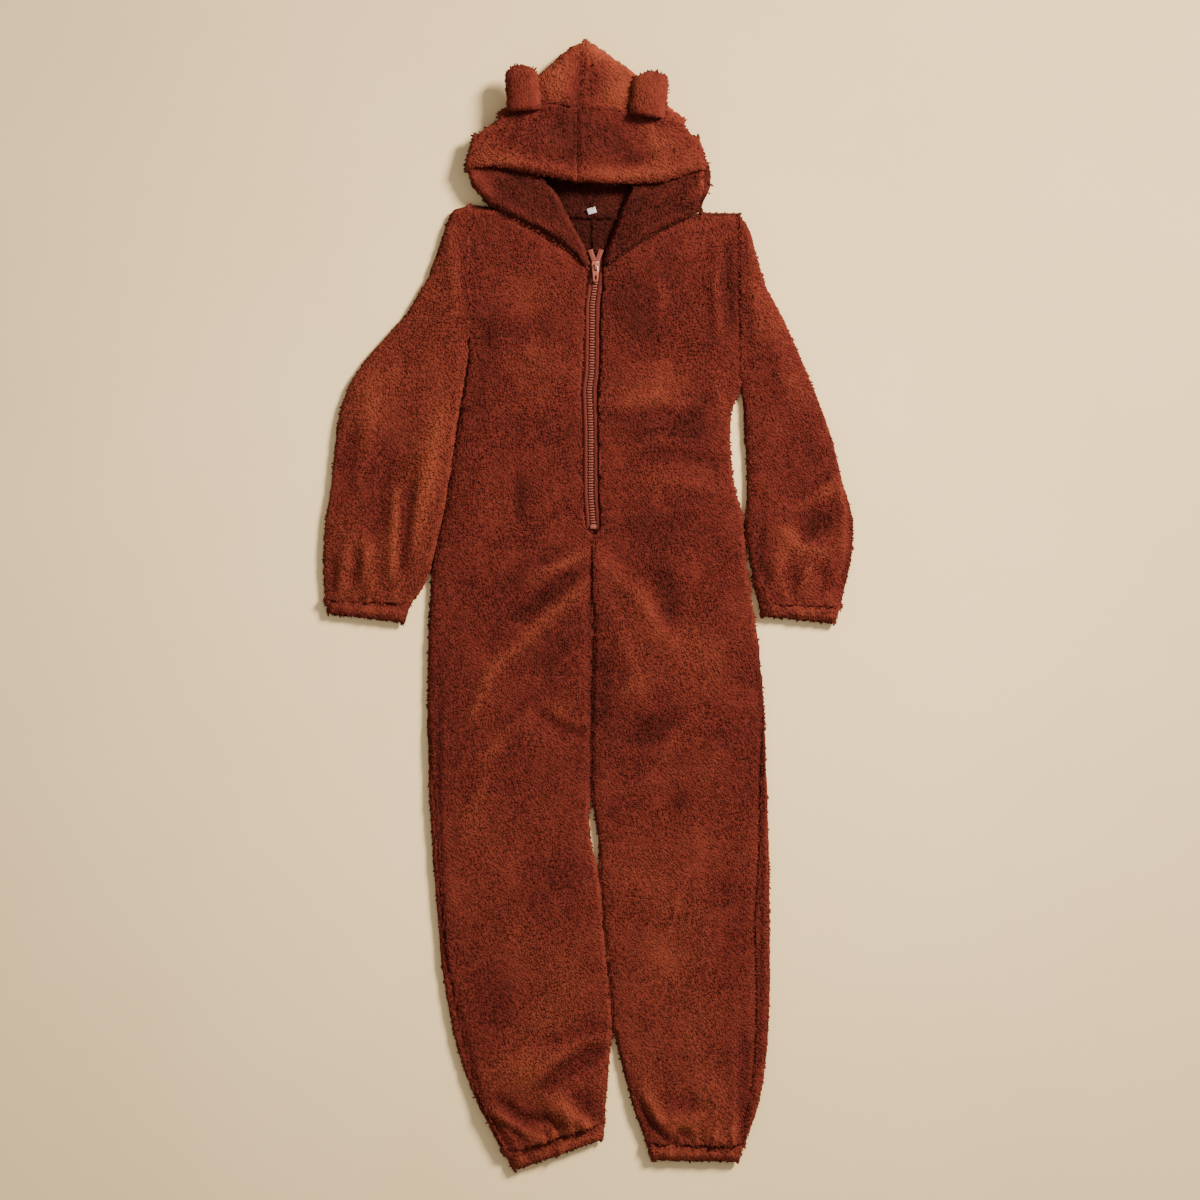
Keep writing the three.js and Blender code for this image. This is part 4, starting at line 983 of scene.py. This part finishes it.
@dataclass
class Panel:
    """One cut panel of the garment: its shell, its creases and its pile."""

    node: str
    cut: Cut
    nap: tuple[float, float]
    creases: tuple[Stroke, ...]
    lift_from: float
    rests_on: tuple[str, ...] = ()
    slot: Slot = Slot.FLEECE
    seed: int = 1
    spacing: float = 2.4
    longest: float = 9.0
    waviness: float = 0.9
    deepest: float = 2.2
    most_inset: float = 2.4
    least_wall: float = 1.6
    fill: float = 0.0
    tone: float = 0.0
    parted: bool = False
    softness: float = 1.3
    seam_reach: float = 12.0
    shallow: float = 0.35
    bulge: float = 1.9
    ridge_gain: float = 1.5
    widen: tuple[float, float] = (0.0, 0.0)
    drop: float = 0.0

    def refined(self, around: BVHTree) -> bmesh.types.BMesh:
        """Cuts the solid's surface into smaller triangles, where it is open.

        Args:
            around: All the garment's solids.

        Returns:
            The surface, with its corners merged.
        """
        body = bmesh.new()
        body.from_mesh(bpy.data.objects[self.node].data)
        bmesh.ops.remove_doubles(body, verts=body.verts, dist=0.02 * MM)
        for step in range(6):
            body.faces.index_update()
            opened = self.open_faces(body, around)[0] if step > 1 else np.ones(len(body.faces))
            long = [edge for edge in body.edges if edge.calc_length() > self.longest * MM
                    and max(opened[face.index] for face in edge.link_faces) > 0.5]
            if not long:
                break
            bmesh.ops.subdivide_edges(body, edges=long, cuts=1)
            bmesh.ops.triangulate(body, faces=[face for face in body.faces if len(face.verts) > 3])
        body.normal_update()
        return body

    def open_faces(self, body: bmesh.types.BMesh, around: BVHTree) -> tuple[np.ndarray, np.ndarray]:
        """Finds which faces lie open, and which touch other cloth or face it in a seam.

        Args:
            body: The panel's surface.
            around: All the garment's solids.

        Returns:
            For each face 1 if it is open and 0 if it is covered, and 1 if other cloth lies close beside it.
        """
        skin, reach = 0.05 * MM, REACH * MM
        room, steep = [], []
        for face in body.faces:
            start = face.calc_center_median() + face.normal * skin
            hit = around.ray_cast(start, face.normal, reach)[3]
            room.append((reach if hit is None else hit) / MM)
            steep.append(abs(face.normal.z) < 0.7)
        room, steep = np.array(room), np.array(steep)
        opened = np.where(steep, smooth_step(room, *STEEP_ROOM), smooth_step(room, *FLAT_ROOM))
        return opened, steep * smooth_step(-room, -CLOSE_ROOM[1], -CLOSE_ROOM[0])

    @staticmethod
    def probe(body: bmesh.types.BMesh, opened: np.ndarray, around: BVHTree) -> tuple[list, list, list, list]:
        """Finds how each point lies.

        Args:
            body: The panel's surface.
            opened: How open each face is, from 0 to 1.
            around: All the garment's solids.

        Returns:
            For each point its outward way, the openness of its most covered and of its most open face, and
            the depth of the cloth under it in millimetres.
        """
        ways, least, most, depth = [], [], [], []
        for vert in body.verts:
            shares = [opened[face.index] for face in vert.link_faces]
            facing = (f.normal * f.calc_area() * opened[f.index] for f in vert.link_faces)
            way = sum(facing, Vector()).normalized()
            inner = sum((f.calc_center_median() for f in vert.link_faces), Vector()) / len(vert.link_faces)
            start = vert.co.lerp(inner, 0.2) - way * 0.2 * MM
            hit = around.ray_cast(start, -way, REACH * MM)[3] if max(shares) > 0 else 0.0
            ways.append(way)
            least.append(min(shares))
            most.append(max(shares))
            depth.append((REACH * MM if hit is None else hit) / MM)
        return ways, least, most, depth

    def shell(self, around: BVHTree, ground: bpy.types.Material) -> bpy.types.Object:
        """Builds the panel's shell.

        Args:
            around: All the garment's solids, to find where the cloth is free.
            ground: Material of the knitted ground.

        Returns:
            The shell, with the attributes that the pile grows by.
        """
        body = self.refined(around)
        body.faces.index_update()
        opened, beside = self.open_faces(body, around)
        ways, least, most, depth = self.probe(body, opened, around)
        close = np.array([max(beside[face.index] for face in vert.link_faces) for vert in body.verts])
        sharp = np.array([v.co for v in body.verts]) / MM
        for _ in range(5):
            self.soften(body, ways, least, most)
        moved = np.array([v.co for v in body.verts]) / MM - sharp
        far = np.linalg.norm(moved, axis=1)
        most_soft = np.where(np.array(least) > 0.5, 2 * self.softness, self.softness)
        co = sharp + moved * (np.minimum(far, most_soft) / np.maximum(far, 1e-6))[:, None]
        ways, free, depth = np.array(ways), np.array(most), np.array(depth)
        # Room for the pile; where other cloth lies close beside it, the edge bulges out to meet it instead
        sunk = np.minimum(self.most_inset, ((depth - self.least_wall) / 2).clip(0))
        inset = (sunk * (1 - close) - self.bulge * close) * free
        move = ways * (self.waviness * free * self.waves(co) - inset)[:, None]
        move[:, 2] += self.rise(co, ways, free)
        through = -(move * ways).sum(axis=1) - np.maximum(depth - LEAST_LEFT, 0)
        co += move + ways * (np.maximum(through, 0) * free)[:, None]
        np.maximum(co[:, 2], LEAST_LEVEL, out=co[:, 2])
        middle, low, high = co[:, 0].mean(), co[:, 1].min(), co[:, 1].max()
        wider = self.widen[0] + self.widen[1] * smooth_step((co[:, 1] - low) / (high - low), 0.5, 0.95)
        co[:, 0] += (co[:, 0] - middle) * wider
        co[:, 1] -= self.drop
        seam = co[(np.array(least) < 0.5) & (free > 0.5)]
        for vert, place in zip(body.verts, co * MM):
            vert.co = place
        mesh = bpy.data.meshes.new(self.node + "_shell")
        body.to_mesh(mesh)
        body.free()
        mesh.shade_smooth()
        piece = link(self.node + "_shell", mesh)
        mesh.materials.append(ground)
        self.mark(mesh, co, ways, opened, seam)
        return piece

    @staticmethod
    def soften(body: bmesh.types.BMesh, ways: list[Vector], least: list[float], most: list[float]) -> None:
        """Rounds the surface once; beside a seam a point only moves in or out, so that the seam stays shut.

        Args:
            body: The panel's surface.
            ways: Outward direction of each point's open faces.
            least: Openness of each point's most covered face.
            most: Openness of its most open face.
        """
        moves = []
        for vert, way, low, high in zip(body.verts, ways, least, most):
            beside = [edge.other_vert(vert).co for edge in vert.link_edges]
            mean = sum(beside, Vector()) / len(beside)
            step = (mean - vert.co) * 0.5 * high
            moves.append(step * low + way * step.dot(way) * (1 - low))
        for vert, move in zip(body.verts, moves):
            vert.co += move

    def rise(self, co: np.ndarray, normals: np.ndarray, free: np.ndarray) -> np.ndarray:
        """Works out how far the creases lift each point.

        Args:
            co: Points of the shell, in millimetres.
            normals: Their normals.
            free: How open each point is, from 0 to 1.

        Returns:
            The lift in millimetres, of the upper layer and, on the underside, of the lower one.
        """
        x, y, z = co.T
        height = sum(crease.at(x, y) for crease in self.creases) + np.zeros(len(x))
        upper = smooth_step(z, self.lift_from - 1, self.lift_from + 3)
        outer = np.maximum(smooth_step(normals[:, 2], 0.0, 0.6), free)
        lift = np.maximum(height, 0) * self.ridge_gain * upper
        lift = lift + np.maximum(np.minimum(height, 0), -self.deepest) * upper * outer
        under = sum(crease.at(x, y) for crease in UNDER_CREASES)
        flat_below = smooth_step(-normals[:, 2], 0.4, 0.9) * smooth_step(-z, -3.0, -1.0)
        return lift + under * flat_below

    def waves(self, co: np.ndarray) -> np.ndarray:
        """Uneven softness of the cloth, in small and broad clumps."""
        values = []
        for point in co:
            small = noise.noise(Vector(point) / CLUMPS[0] + Vector((self.seed, 0, 0)))
            broad = noise.noise(Vector(point) / CLUMPS[1])
            values.append(0.6 * small + 0.6 * broad)
        return np.maximum(values, -self.shallow)

    def mark(self, mesh: bpy.types.Mesh, co: np.ndarray, normals: np.ndarray, opened: np.ndarray,
             seam: np.ndarray) -> None:
        """Stores where the pile grows, how it lies, and its tone: how it is brushed, with painted light and
        shade along the nap, on the creases and inside the hood.

        Args:
            mesh: The shell's mesh.
            co: Its points, in millimetres.
            normals: Their normals.
            opened: How open each face is, from 0 to 1.
            seam: Points where the open side meets a seam, over which the locks lean.
        """
        near_seam = KDTree(len(seam))
        for index, point in enumerate(seam):
            near_seam.insert(point, index)
        near_seam.balance()
        x, y, z = co.T
        below = smooth_step(-normals[:, 2], 0.2, 0.8) * smooth_step(-z, -6.0, -2.0)
        clear = (1 - 0.64 * below) * self.clear_of_trim(x, y, z)
        cover = opened * [clear[list(face.vertices)].mean() for face in mesh.polygons]
        press = 0.85 - 0.5 * below - 0.5 * smooth_step(-np.abs(normals[:, 2]), -0.75, -0.3)
        nap = np.zeros((len(co), 3))
        for index, point in enumerate(co):
            near = Vector(point)
            drift = noise.noise_vector(near / DRIFT + Vector((0, 7, self.seed)))
            curl = noise.noise_vector(near / CURL)
            side = float(smooth_step(abs(point[0] + 10), 0, 26)) if self.parted else 1.0
            set_way = Vector((self.nap[0] * side, self.nap[1], 0.0))
            nap[index] = set_way * NAP_SHARE + drift * DRIFT_SHARE + curl * CURL_SHARE
            found, _, away = near_seam.find(near)
            if found is not None and 0.5 < away < self.seam_reach:
                nap[index] += (np.array(found) - point) / away * SEAM_SHARE * (1 - away / self.seam_reach)
        # Painted light and shade along the nap: lighter where the nap points to the key light, darker where it
        # points away
        painted_nap_light = nap @ np.array(LIGHT_WAY) / np.maximum(np.linalg.norm(nap, axis=1), 1e-6)
        top = smooth_step(normals[:, 2], -0.2, 0.4)
        # The brushed patches, with their painted highlights on ridges and painted shade in troughs
        tone = sum(stroke.at(x, y) for stroke in BRUSHED_AND_SHADED) * top + 0.25 * painted_nap_light
        # Painted highlight on the creases' ridges and painted shade in their troughs
        tone += 0.7 * sum(crease.at(x, y) for crease in self.creases) / 3 * top
        # The lining side seen inside the hood lies in its shade
        inside = smooth_step(y, *LINING_FROM) * smooth_step(-z, -LINING_UNDER[1], -LINING_UNDER[0]) * top
        tone = np.clip(tone, -0.85, 1.1) + self.tone * (1 - inside) - 1.45 * inside
        tone = tone + 0.4 * smooth_step(-y, *PALER_BELOW)
        rows = (("cover", "FACE", cover), ("press", "POINT", press), ("tone", "POINT", tone))
        for name, domain, values in rows:
            mesh.attributes.new(name, "FLOAT", domain).data.foreach_set("value", values.astype(np.float32))
        stored = mesh.attributes.new("nap", "FLOAT_VECTOR", "POINT")
        stored.data.foreach_set("vector", nap.astype(np.float32).ravel())

    @staticmethod
    def clear_of_trim(x: np.ndarray, y: np.ndarray, z: np.ndarray) -> np.ndarray:
        """Returns 0 where the zip, its tape or the label lies, and 1 elsewhere."""
        away = np.abs(x - zip_x(y))
        over_zip = (y > 92) & (y < 446) & (away < 8.2) & (z > 5.0)
        low, high, bottom, top = LABEL_CLEAR
        over_label = (x > low) & (x < high) & (y > bottom) & (y < top) & (z < 9.0)
        return np.where(over_zip | over_label, 0.0, 1.0)

    def build(self, around: BVHTree, tree: bpy.types.NodeTree, ground: bpy.types.Material,
              pile: bpy.types.Material) -> None:
        """Args:
            around: All the garment's solids.
            tree: Geometry tree of the pile.
            ground: Material of the shell.
            pile: Material of the locks.
        """
        shell = self.shell(around, ground)
        locks = grow(shell, tree, {
            "Spacing": self.spacing * MM, "Density": 3e6 / self.spacing**2, "Seed": self.seed,
            "Material": pile}, self.node + "_pile")
        for name in ("cover", "press", "nap"):
            for mesh in (shell.data, locks.data):
                if name in mesh.attributes:
                    mesh.attributes.remove(mesh.attributes[name])
        # Loose fibres let the key light through, so a lock throws no hard shadow of its own
        locks.visible_shadow = False
        declare(shell, node=self.node)
        declare(locks)


@dataclass
class Garment:
    """All the cut panels, each holding the size of its cut."""

    front: Cut = Cut(232, 1180, 0.82)
    back: Cut = Cut(246, 1190, 0.82)
    sleeve: Cut = Cut(290, 510, 0.7)
    wrist: Cut = Cut(212, 24, 1.0)
    ankle: Cut = Cut(244, 26, 1.0)
    crown: Cut = Cut(155, 340, 0.62)
    brow: Cut = Cut(160, 100, 0.8)
    cheek: Cut = Cut(120, 160, 0.86)
    ear: Cut = Cut(50, 64, 0.85)
    panels: list[Panel] = field(default_factory=list)

    def __post_init__(self) -> None:
        """Lists the panels of both sides."""
        for number, (side, out_way) in enumerate(SIDES):
            seed = 20 * number
            body_nap = (0.1 * out_way, -0.9)
            self.panels += [
                Panel(f"front_{side}", self.front, body_nap, BODY_CREASES, 6.0, (f"back_{side}_shell",),
                      seed=seed + 1),
                Panel(f"back_{side}", self.back, body_nap, BODY_CREASES, 6.0, seed=seed + 2),
                Panel(f"sleeve_{side}", self.sleeve, (0.35 * out_way, -0.8), SLEEVE_CREASES, 6.0,
                      seed=seed + 3, tone=0.0 if side == "left" else 0.6),
                Panel(f"wrist_band_{side}", self.wrist, (0.0, -0.8), BAND_CREASES, 6.0, slot=Slot.BAND,
                      seed=seed + 4),
                Panel(f"ankle_band_{side}", self.ankle, (0.0, -0.8), BAND_CREASES, 6.0, slot=Slot.BAND,
                      seed=seed + 5),
                Panel(f"hood_crown_{side}", self.crown, (0.8 * out_way, 0.1), HOOD_CREASES, 18.0,
                      seed=seed + 6, tone=0.5, parted=True),
                Panel(f"hood_brow_{side}", self.brow, (0.5 * out_way, -0.7), HOOD_CREASES, 18.0,
                      (f"hood_cheek_{side}_shell",), seed=seed + 7, parted=True),
                Panel(f"hood_cheek_{side}", self.cheek, (-0.3 * out_way, -0.7), CHEEK_CREASES, 13.0,
                      (f"front_{side}_shell",), seed=seed + 8, tone=-0.85),
                Panel(f"ear_{side}", self.ear, (0.0, 0.8), (), 60.0, (f"hood_crown_{side}_shell",),
                      seed=seed + 9, longest=5.0, fill=0.3, most_inset=0.6,
                      widen=(0.12 if side == "left" else 0.07, 0.24), drop=6.0 if side == "left" else 4.5),
            ]

    def build(self) -> None:
        """Builds every panel."""
        around = self.surroundings()
        tree = PileTree().build()
        ground, pile = GroundFinish().build(), PileFinish().build()
        for panel in self.panels:
            panel.build(around, tree, ground, pile)

    def surroundings(self) -> BVHTree:
        """Returns all the cloth solids as one search tree."""
        verts, faces = [], []
        for panel in self.panels:
            mesh = bpy.data.objects[panel.node].data
            base = len(verts)
            verts += [v.co.copy() for v in mesh.vertices]
            faces += [tuple(base + i for i in p.vertices) for p in mesh.polygons]
        return BVHTree.FromPolygons(verts, faces)


@dataclass
class RowTree:
    """Geometry tree that sets one shape along a line, every second one turned round if it alternates."""

    name: str

    def build(self) -> bpy.types.NodeTree:
        """Returns the tree."""
        tree, source = new_tree(self.name, {
            "Pitch": ("NodeSocketFloat", 2 * MM), "Shape": ("NodeSocketObject", None),
            "Turn": ("NodeSocketFloat", 0.0), "Material": ("NodeSocketMaterial", None)})
        line = add(tree, "GeometryNodeMeshToCurve", inputs={"Mesh": source.outputs["Geometry"]})
        row = add(tree, "GeometryNodeCurveToPoints", {"mode": "LENGTH"}, {
            "Curve": out(line), "Length": source.outputs["Pitch"]})
        along = add(tree, "FunctionNodeAlignRotationToVector", {"axis": "Y", "pivot_axis": "Z"}, {
            "Vector": out(row, "Tangent")})
        number = add(tree, "GeometryNodeInputIndex")
        angle = maths(tree, "MULTIPLY", maths(tree, "MODULO", out(number), 2.0), source.outputs["Turn"])
        spin = add(tree, "ShaderNodeCombineXYZ", inputs={2: angle})
        turned = add(tree, "FunctionNodeRotateRotation", {"rotation_space": "LOCAL"}, {
            "Rotation": out(along), "Rotate By": out(spin)})
        shape = add(tree, "GeometryNodeObjectInfo", inputs={"Object": source.outputs["Shape"]})
        placed = add(tree, "GeometryNodeInstanceOnPoints", inputs={
            "Points": out(row, "Points"), "Instance": out(shape, "Geometry"), "Rotation": out(turned)})
        end_tree(tree, out(placed), source.outputs["Material"])
        return tree


def line_object(points: list[tuple[float, float, float]]) -> bpy.types.Object:
    """Returns a chain of edges through points in millimetres."""
    mesh = bpy.data.meshes.new("line")
    edges = [(i, i + 1) for i in range(len(points) - 1)]
    mesh.from_pydata([Vector(p) * MM for p in points], edges, [])
    return link("line", mesh)


def rounded_box(low: tuple[float, float, float], high: tuple[float, float, float], round_by: float,
                segments: int = 2) -> bpy.types.Object:
    """Makes a box with rounded edges, as a shape for a row.

    Args:
        low: Lowest corner, in millimetres.
        high: Highest corner.
        round_by: Radius of the edges.
        segments: Faces round each edge.

    Returns:
        An object that isn't in the scene.
    """
    body = bmesh.new()
    bmesh.ops.create_cube(body, size=1.0)
    for vert in body.verts:
        vert.co = Vector((a + (b - a) * (c + 0.5)) * MM for a, b, c in zip(low, high, vert.co))
    bmesh.ops.bevel(body, geom=body.edges[:], offset=round_by * MM, segments=segments, affect="EDGES",
                    profile=0.5)
    mesh = bpy.data.meshes.new("shape")
    body.to_mesh(mesh)
    body.free()
    return bpy.data.objects.new("shape", mesh)


def strip(name: str, sections: list[list[tuple[float, float, float]]],
          material: bpy.types.Material) -> bpy.types.Object:
    """Makes a closed strip through rings of points.

    Args:
        name: Name of the piece.
        sections: Rings with the same number of points, in millimetres.
        material: Its material.

    Returns:
        The piece.
    """
    count = len(sections[0])
    points = [Vector(p) * MM for ring in sections for p in ring]
    faces = []
    for i in range(len(sections) - 1):
        for j in range(count):
            after = (j + 1) % count
            faces.append((i * count + j, i * count + after, (i + 1) * count + after, (i + 1) * count + j))
    faces.append(tuple(range(count))[::-1])
    faces.append(tuple((len(sections) - 1) * count + j for j in range(count)))
    mesh = bpy.data.meshes.new(name)
    mesh.from_pydata(points, [], faces)
    body = bmesh.new()
    body.from_mesh(mesh)
    bmesh.ops.recalc_face_normals(body, faces=body.faces)
    body.to_mesh(mesh)
    body.free()
    mesh.shade_smooth()
    mesh.materials.append(material)
    return link(name, mesh)


@dataclass
class Zip:
    """The zip: two tapes, the chain with its teeth, its open ends, the stop, the slider and the pull tab."""

    pitch: float = 3.3
    tooth_reach: float = 3.3
    tooth_overlap: float = 2.7
    tooth_long: float = 2.1
    chain_level: float = 6.5
    tooth_high: float = 2.2
    tape_wide: float = 15.0
    tape_level: float = 5.35
    roll_high: float = 8.0
    top: float = 434.0
    bottom: float = 92.0
    tape_ends: tuple[float, float] = (14.0, 10.0)
    face: float = 6.3
    open_ends: tuple[tuple[float, float], ...] = ((2.2, 431.0), (7.0, 444.5))
    stitch_long: float = 2.8
    stitch_gap: float = 1.0
    stitch_away: float = 7.4

    def build(self) -> None:
        """Builds every piece of the zip."""
        teeth = MouldedFinish("moulded acetal zip teeth", "#7d3c30", "#945040").build()
        lacquer = MouldedFinish("lacquered zinc slider", "#8f4636", "#b06c58", roughness=0.32).build()
        tape = TapeFinish().build()
        self.tapes(tape)
        self.chains(teeth)
        self.stitching(tape)
        self.hardware("zip_slider", Body.GARMENT, lacquer)
        self.hardware("zip_pull", Body.PULL_TAB, lacquer)
        self.hardware("zip_stop", Body.GARMENT, teeth)

    def middle(self, y: float) -> float:
        """Place of the zip's middle at a level; above the chain it stays where the chain ends."""
        return float(zip_x(min(y, ZIP_LINE[0][1])))

    def levels(self, low: float, high: float, step: float = 8.0) -> list[float]:
        """Even levels from one to another."""
        return list(np.linspace(low, high, max(2, round((high - low) / step) + 1)))

    def tapes(self, material: bpy.types.Material) -> None:
        """Builds the two tapes, each with a soft roll beside the chain.

        Args:
            material: Woven tape.
        """
        # Offset from the zip's middle and height of the tape's face, round the section
        profile = ((0.3, 6.2), (3.4, self.face), (4.0, 7.2), (5.2, self.roll_high - 0.3), (6.6, self.roll_high),
                   (8.0, self.roll_high - 0.6), (8.9, 7.2), (9.4, 6.35), (self.tape_wide, self.face),
                   (self.tape_wide, self.tape_level), (0.3, self.tape_level))
        low_end, top_end = self.tape_ends
        for side, sign in SIDES:
            rings = []
            for y in self.levels(self.bottom, self.top):
                # The roll flattens out at the tape's ends
                roll = float(smooth_step(y, self.bottom, self.bottom + low_end)
                             * smooth_step(-y, -self.top, -self.top + top_end))
                rings.append([(self.middle(y) + sign * away, y,
                               self.face + (high - self.face) * (roll if high > self.face + 0.1 else 1.0))
                              for away, high in profile])
            piece = strip(f"zip_tape_{side}_woven", rings, material)
            declare(piece, node=f"zip_tape_{side}")

    def chains(self, material: bpy.types.Material) -> None:
        """Builds the teeth: the closed chain, and its two open ends above the slider.

        Args:
            material: Moulded teeth.
        """
        tree = RowTree("Zip teeth").build()
        tooth = rounded_box((-self.tooth_reach, -self.tooth_long / 2, 0),
                            (self.tooth_overlap, self.tooth_long / 2, self.tooth_high), 0.45)
        closed = line_object([(x, y, self.chain_level) for x, y in ZIP_LINE])
        rows = [("zip_teeth", closed, self.pitch, math.pi, "zip_chain")]
        for side, sign in SIDES:
            ends = [(self.middle(y) + sign * away, y, self.chain_level + 0.2) for away, y in self.open_ends]
            line = line_object(ends if sign > 0 else ends[::-1])
            rows.append((f"zip_teeth_{side}", line, self.pitch / 2 + 0.3, 0.0, f"zip_chain_{side}"))
        for name, line, pitch, turn, node in rows:
            values = {"Pitch": pitch * MM, "Shape": tooth, "Turn": turn, "Material": material}
            piece = grow(line, tree, values, name)
            bpy.data.objects.remove(line)
            declare(piece, node=node)

    def stitching(self, material: bpy.types.Material) -> None:
        """Builds the row of stitches along each tape's roll.

        Args:
            material: Thread, of the same woven polyester.
        """
        tree = RowTree("Lockstitch").build()
        stitch = rounded_box((-0.28, -self.stitch_long / 2, -0.2), (0.28, self.stitch_long / 2, 0.3), 0.2, 1)
        for side, sign in SIDES:
            line = line_object([(self.middle(y) + sign * self.stitch_away, y, self.roll_high - 0.15)
                                for y in self.levels(self.bottom + 12, self.top - 12)])
            piece = grow(line, tree, {"Pitch": (self.stitch_long + self.stitch_gap) * MM, "Shape": stitch,
                                      "Material": material}, f"zip_stitches_{side}")
            bpy.data.objects.remove(line)
            declare(piece)

    def hardware(self, node: str, body: Body, material: bpy.types.Material) -> None:
        """Builds a hard piece on its solid's form, with rounded edges.

        Args:
            node: Name of its solid.
            body: Body that it rides on.
            material: Its finish.
        """
        shape = bmesh.new()
        shape.from_mesh(bpy.data.objects[node].data)
        bmesh.ops.remove_doubles(shape, verts=shape.verts, dist=0.01 * MM)
        bmesh.ops.dissolve_limit(shape, angle_limit=math.radians(2), verts=shape.verts, edges=shape.edges)
        mesh = bpy.data.meshes.new(node + "_rounded")
        shape.to_mesh(mesh)
        shape.free()
        piece = link(node + "_rounded", mesh)
        bevel = piece.modifiers.new("edges", "BEVEL")
        bevel.width, bevel.segments, bevel.limit_method = 0.28 * MM, 3, "ANGLE"
        bevel.harden_normals = True
        graph = bpy.context.evaluated_depsgraph_get()
        rounded = bpy.data.meshes.new_from_object(piece.evaluated_get(graph), depsgraph=graph)
        piece.modifiers.remove(bevel)
        piece.data = rounded
        rounded.shade_smooth()
        rounded.materials.clear()
        rounded.materials.append(material)
        declare(piece, body, node)


@dataclass
class Label:
    """Bare satin label, folded in two and caught in the neck seam."""

    wide: float = 11.0
    drop: float = 7.6
    thick: float = 0.3
    gap: float = 0.25
    middle: float = 4.0
    seam_y: float = 498.2
    tilt: float = 17.0
    level: float = 5.4

    def build(self) -> None:
        """Builds the label as one folded ribbon, turned a little askew."""
        material = SatinFinish().build()
        rings = []
        for x in np.linspace(-self.wide / 2, self.wide / 2, 9):
            sag = 0.5 * math.cos(x / self.wide * math.pi)
            rings.append([(self.middle + x, self.seam_y - run, self.level + high + sag * run / self.drop)
                          for run, high in self.profile()])
        turn, centre = math.radians(self.tilt), (self.middle, self.seam_y - self.drop / 2)
        for ring in rings:
            ring[:] = [(centre[0] + (x - centre[0]) * math.cos(turn) - (y - centre[1]) * math.sin(turn),
                        centre[1] + (x - centre[0]) * math.sin(turn) + (y - centre[1]) * math.cos(turn), z)
                       for x, y, z in ring]
        piece = strip("label_ribbon", rings, material)
        declare(piece, node="label")

    def profile(self) -> list[tuple[float, float]]:
        """Run from the seam and height of the folded ribbon, round its section."""
        inner = self.gap / 2
        outer = self.thick + inner
        bend = self.drop - outer
        points = [(0.0, outer + outer), (bend, outer + outer)]
        points += [(bend + outer * math.sin(a), outer + outer * math.cos(a)) for a in np.linspace(0.5, 2.6, 5)]
        points += [(bend, 0.0), (0.0, 0.0), (0.0, outer - inner), (bend, outer - inner)]
        points += [(bend + inner, outer), (bend, outer + inner), (0.0, outer + inner)]
        return points


@dataclass
class Studio:
    """Plain pale floor, soft light from the upper right, and the camera straight above."""

    view_wide: float = 1.5
    centre: tuple[float, float] = (0.0144, 0.0081)
    height: float = 10.0
    sensor: float = 36.0
    floor_size: float = 6.0
    key_at: tuple[float, float, float] = (3.0, 2.55, 2.45)
    key_wide: float = 1.1
    key_power: float = 505.0
    key_colour: str = "#fff2e2"
    fill: float = 0.46
    fill_colour: str = "#fbf4ec"

    def build(self) -> None:
        """Builds the floor, the lights and the camera."""
        self.floor()
        self.lights()
        self.camera()
        LOG.info("studio: floor, key light, fill and camera")

    def floor(self) -> None:
        """Builds the floor."""
        half = self.floor_size / 2
        mesh = bpy.data.meshes.new("floor")
        corners = [(-half, -half, 0), (half, -half, 0), (half, half, 0), (-half, half, 0)]
        mesh.from_pydata(corners, [], [(0, 1, 2, 3)])
        mesh.materials.append(PlasterFinish().build())
        link("floor", mesh)

    def lights(self) -> None:
        """Builds the key light and the fill from all round."""
        key = bpy.data.lights.new("key", "AREA")
        key.shape, key.size, key.energy = "DISK", self.key_wide, self.key_power
        key.color = linear(self.key_colour)[:3]
        lamp = bpy.data.objects.new("key", key)
        bpy.context.scene.collection.objects.link(lamp)
        lamp.location = self.key_at
        lamp.rotation_euler = (Vector((0, 0, 0)) - lamp.location).to_track_quat("-Z", "Y").to_euler()
        world = bpy.data.worlds.new("studio")
        world.use_nodes = True
        world.node_tree.nodes.clear()
        sky = add(world.node_tree, "ShaderNodeBackground", inputs={
            "Color": linear(self.fill_colour), "Strength": self.fill})
        add(world.node_tree, "ShaderNodeOutputWorld", inputs={"Surface": out(sky)})
        bpy.context.scene.world = world

    def camera(self) -> None:
        """Builds the camera, looking straight down with +Y up in the picture."""
        data = bpy.data.cameras.new("camera")
        data.sensor_width = self.sensor
        data.lens = self.sensor * self.height / self.view_wide
        camera = bpy.data.objects.new("camera", data)
        bpy.context.scene.collection.objects.link(camera)
        camera.location = (*self.centre, self.height)
        bpy.context.scene.camera = camera


def main() -> None:
    """Builds the onesie around its frame, piece by piece."""
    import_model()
    noise.seed_set(NOISE_SEED)
    Studio().build()
    Garment().build()
    Zip().build()
    Label().build()


if __name__ == "__main__":
    logging.basicConfig(level=logging.INFO, format="%(name)s %(message)s")
    main()
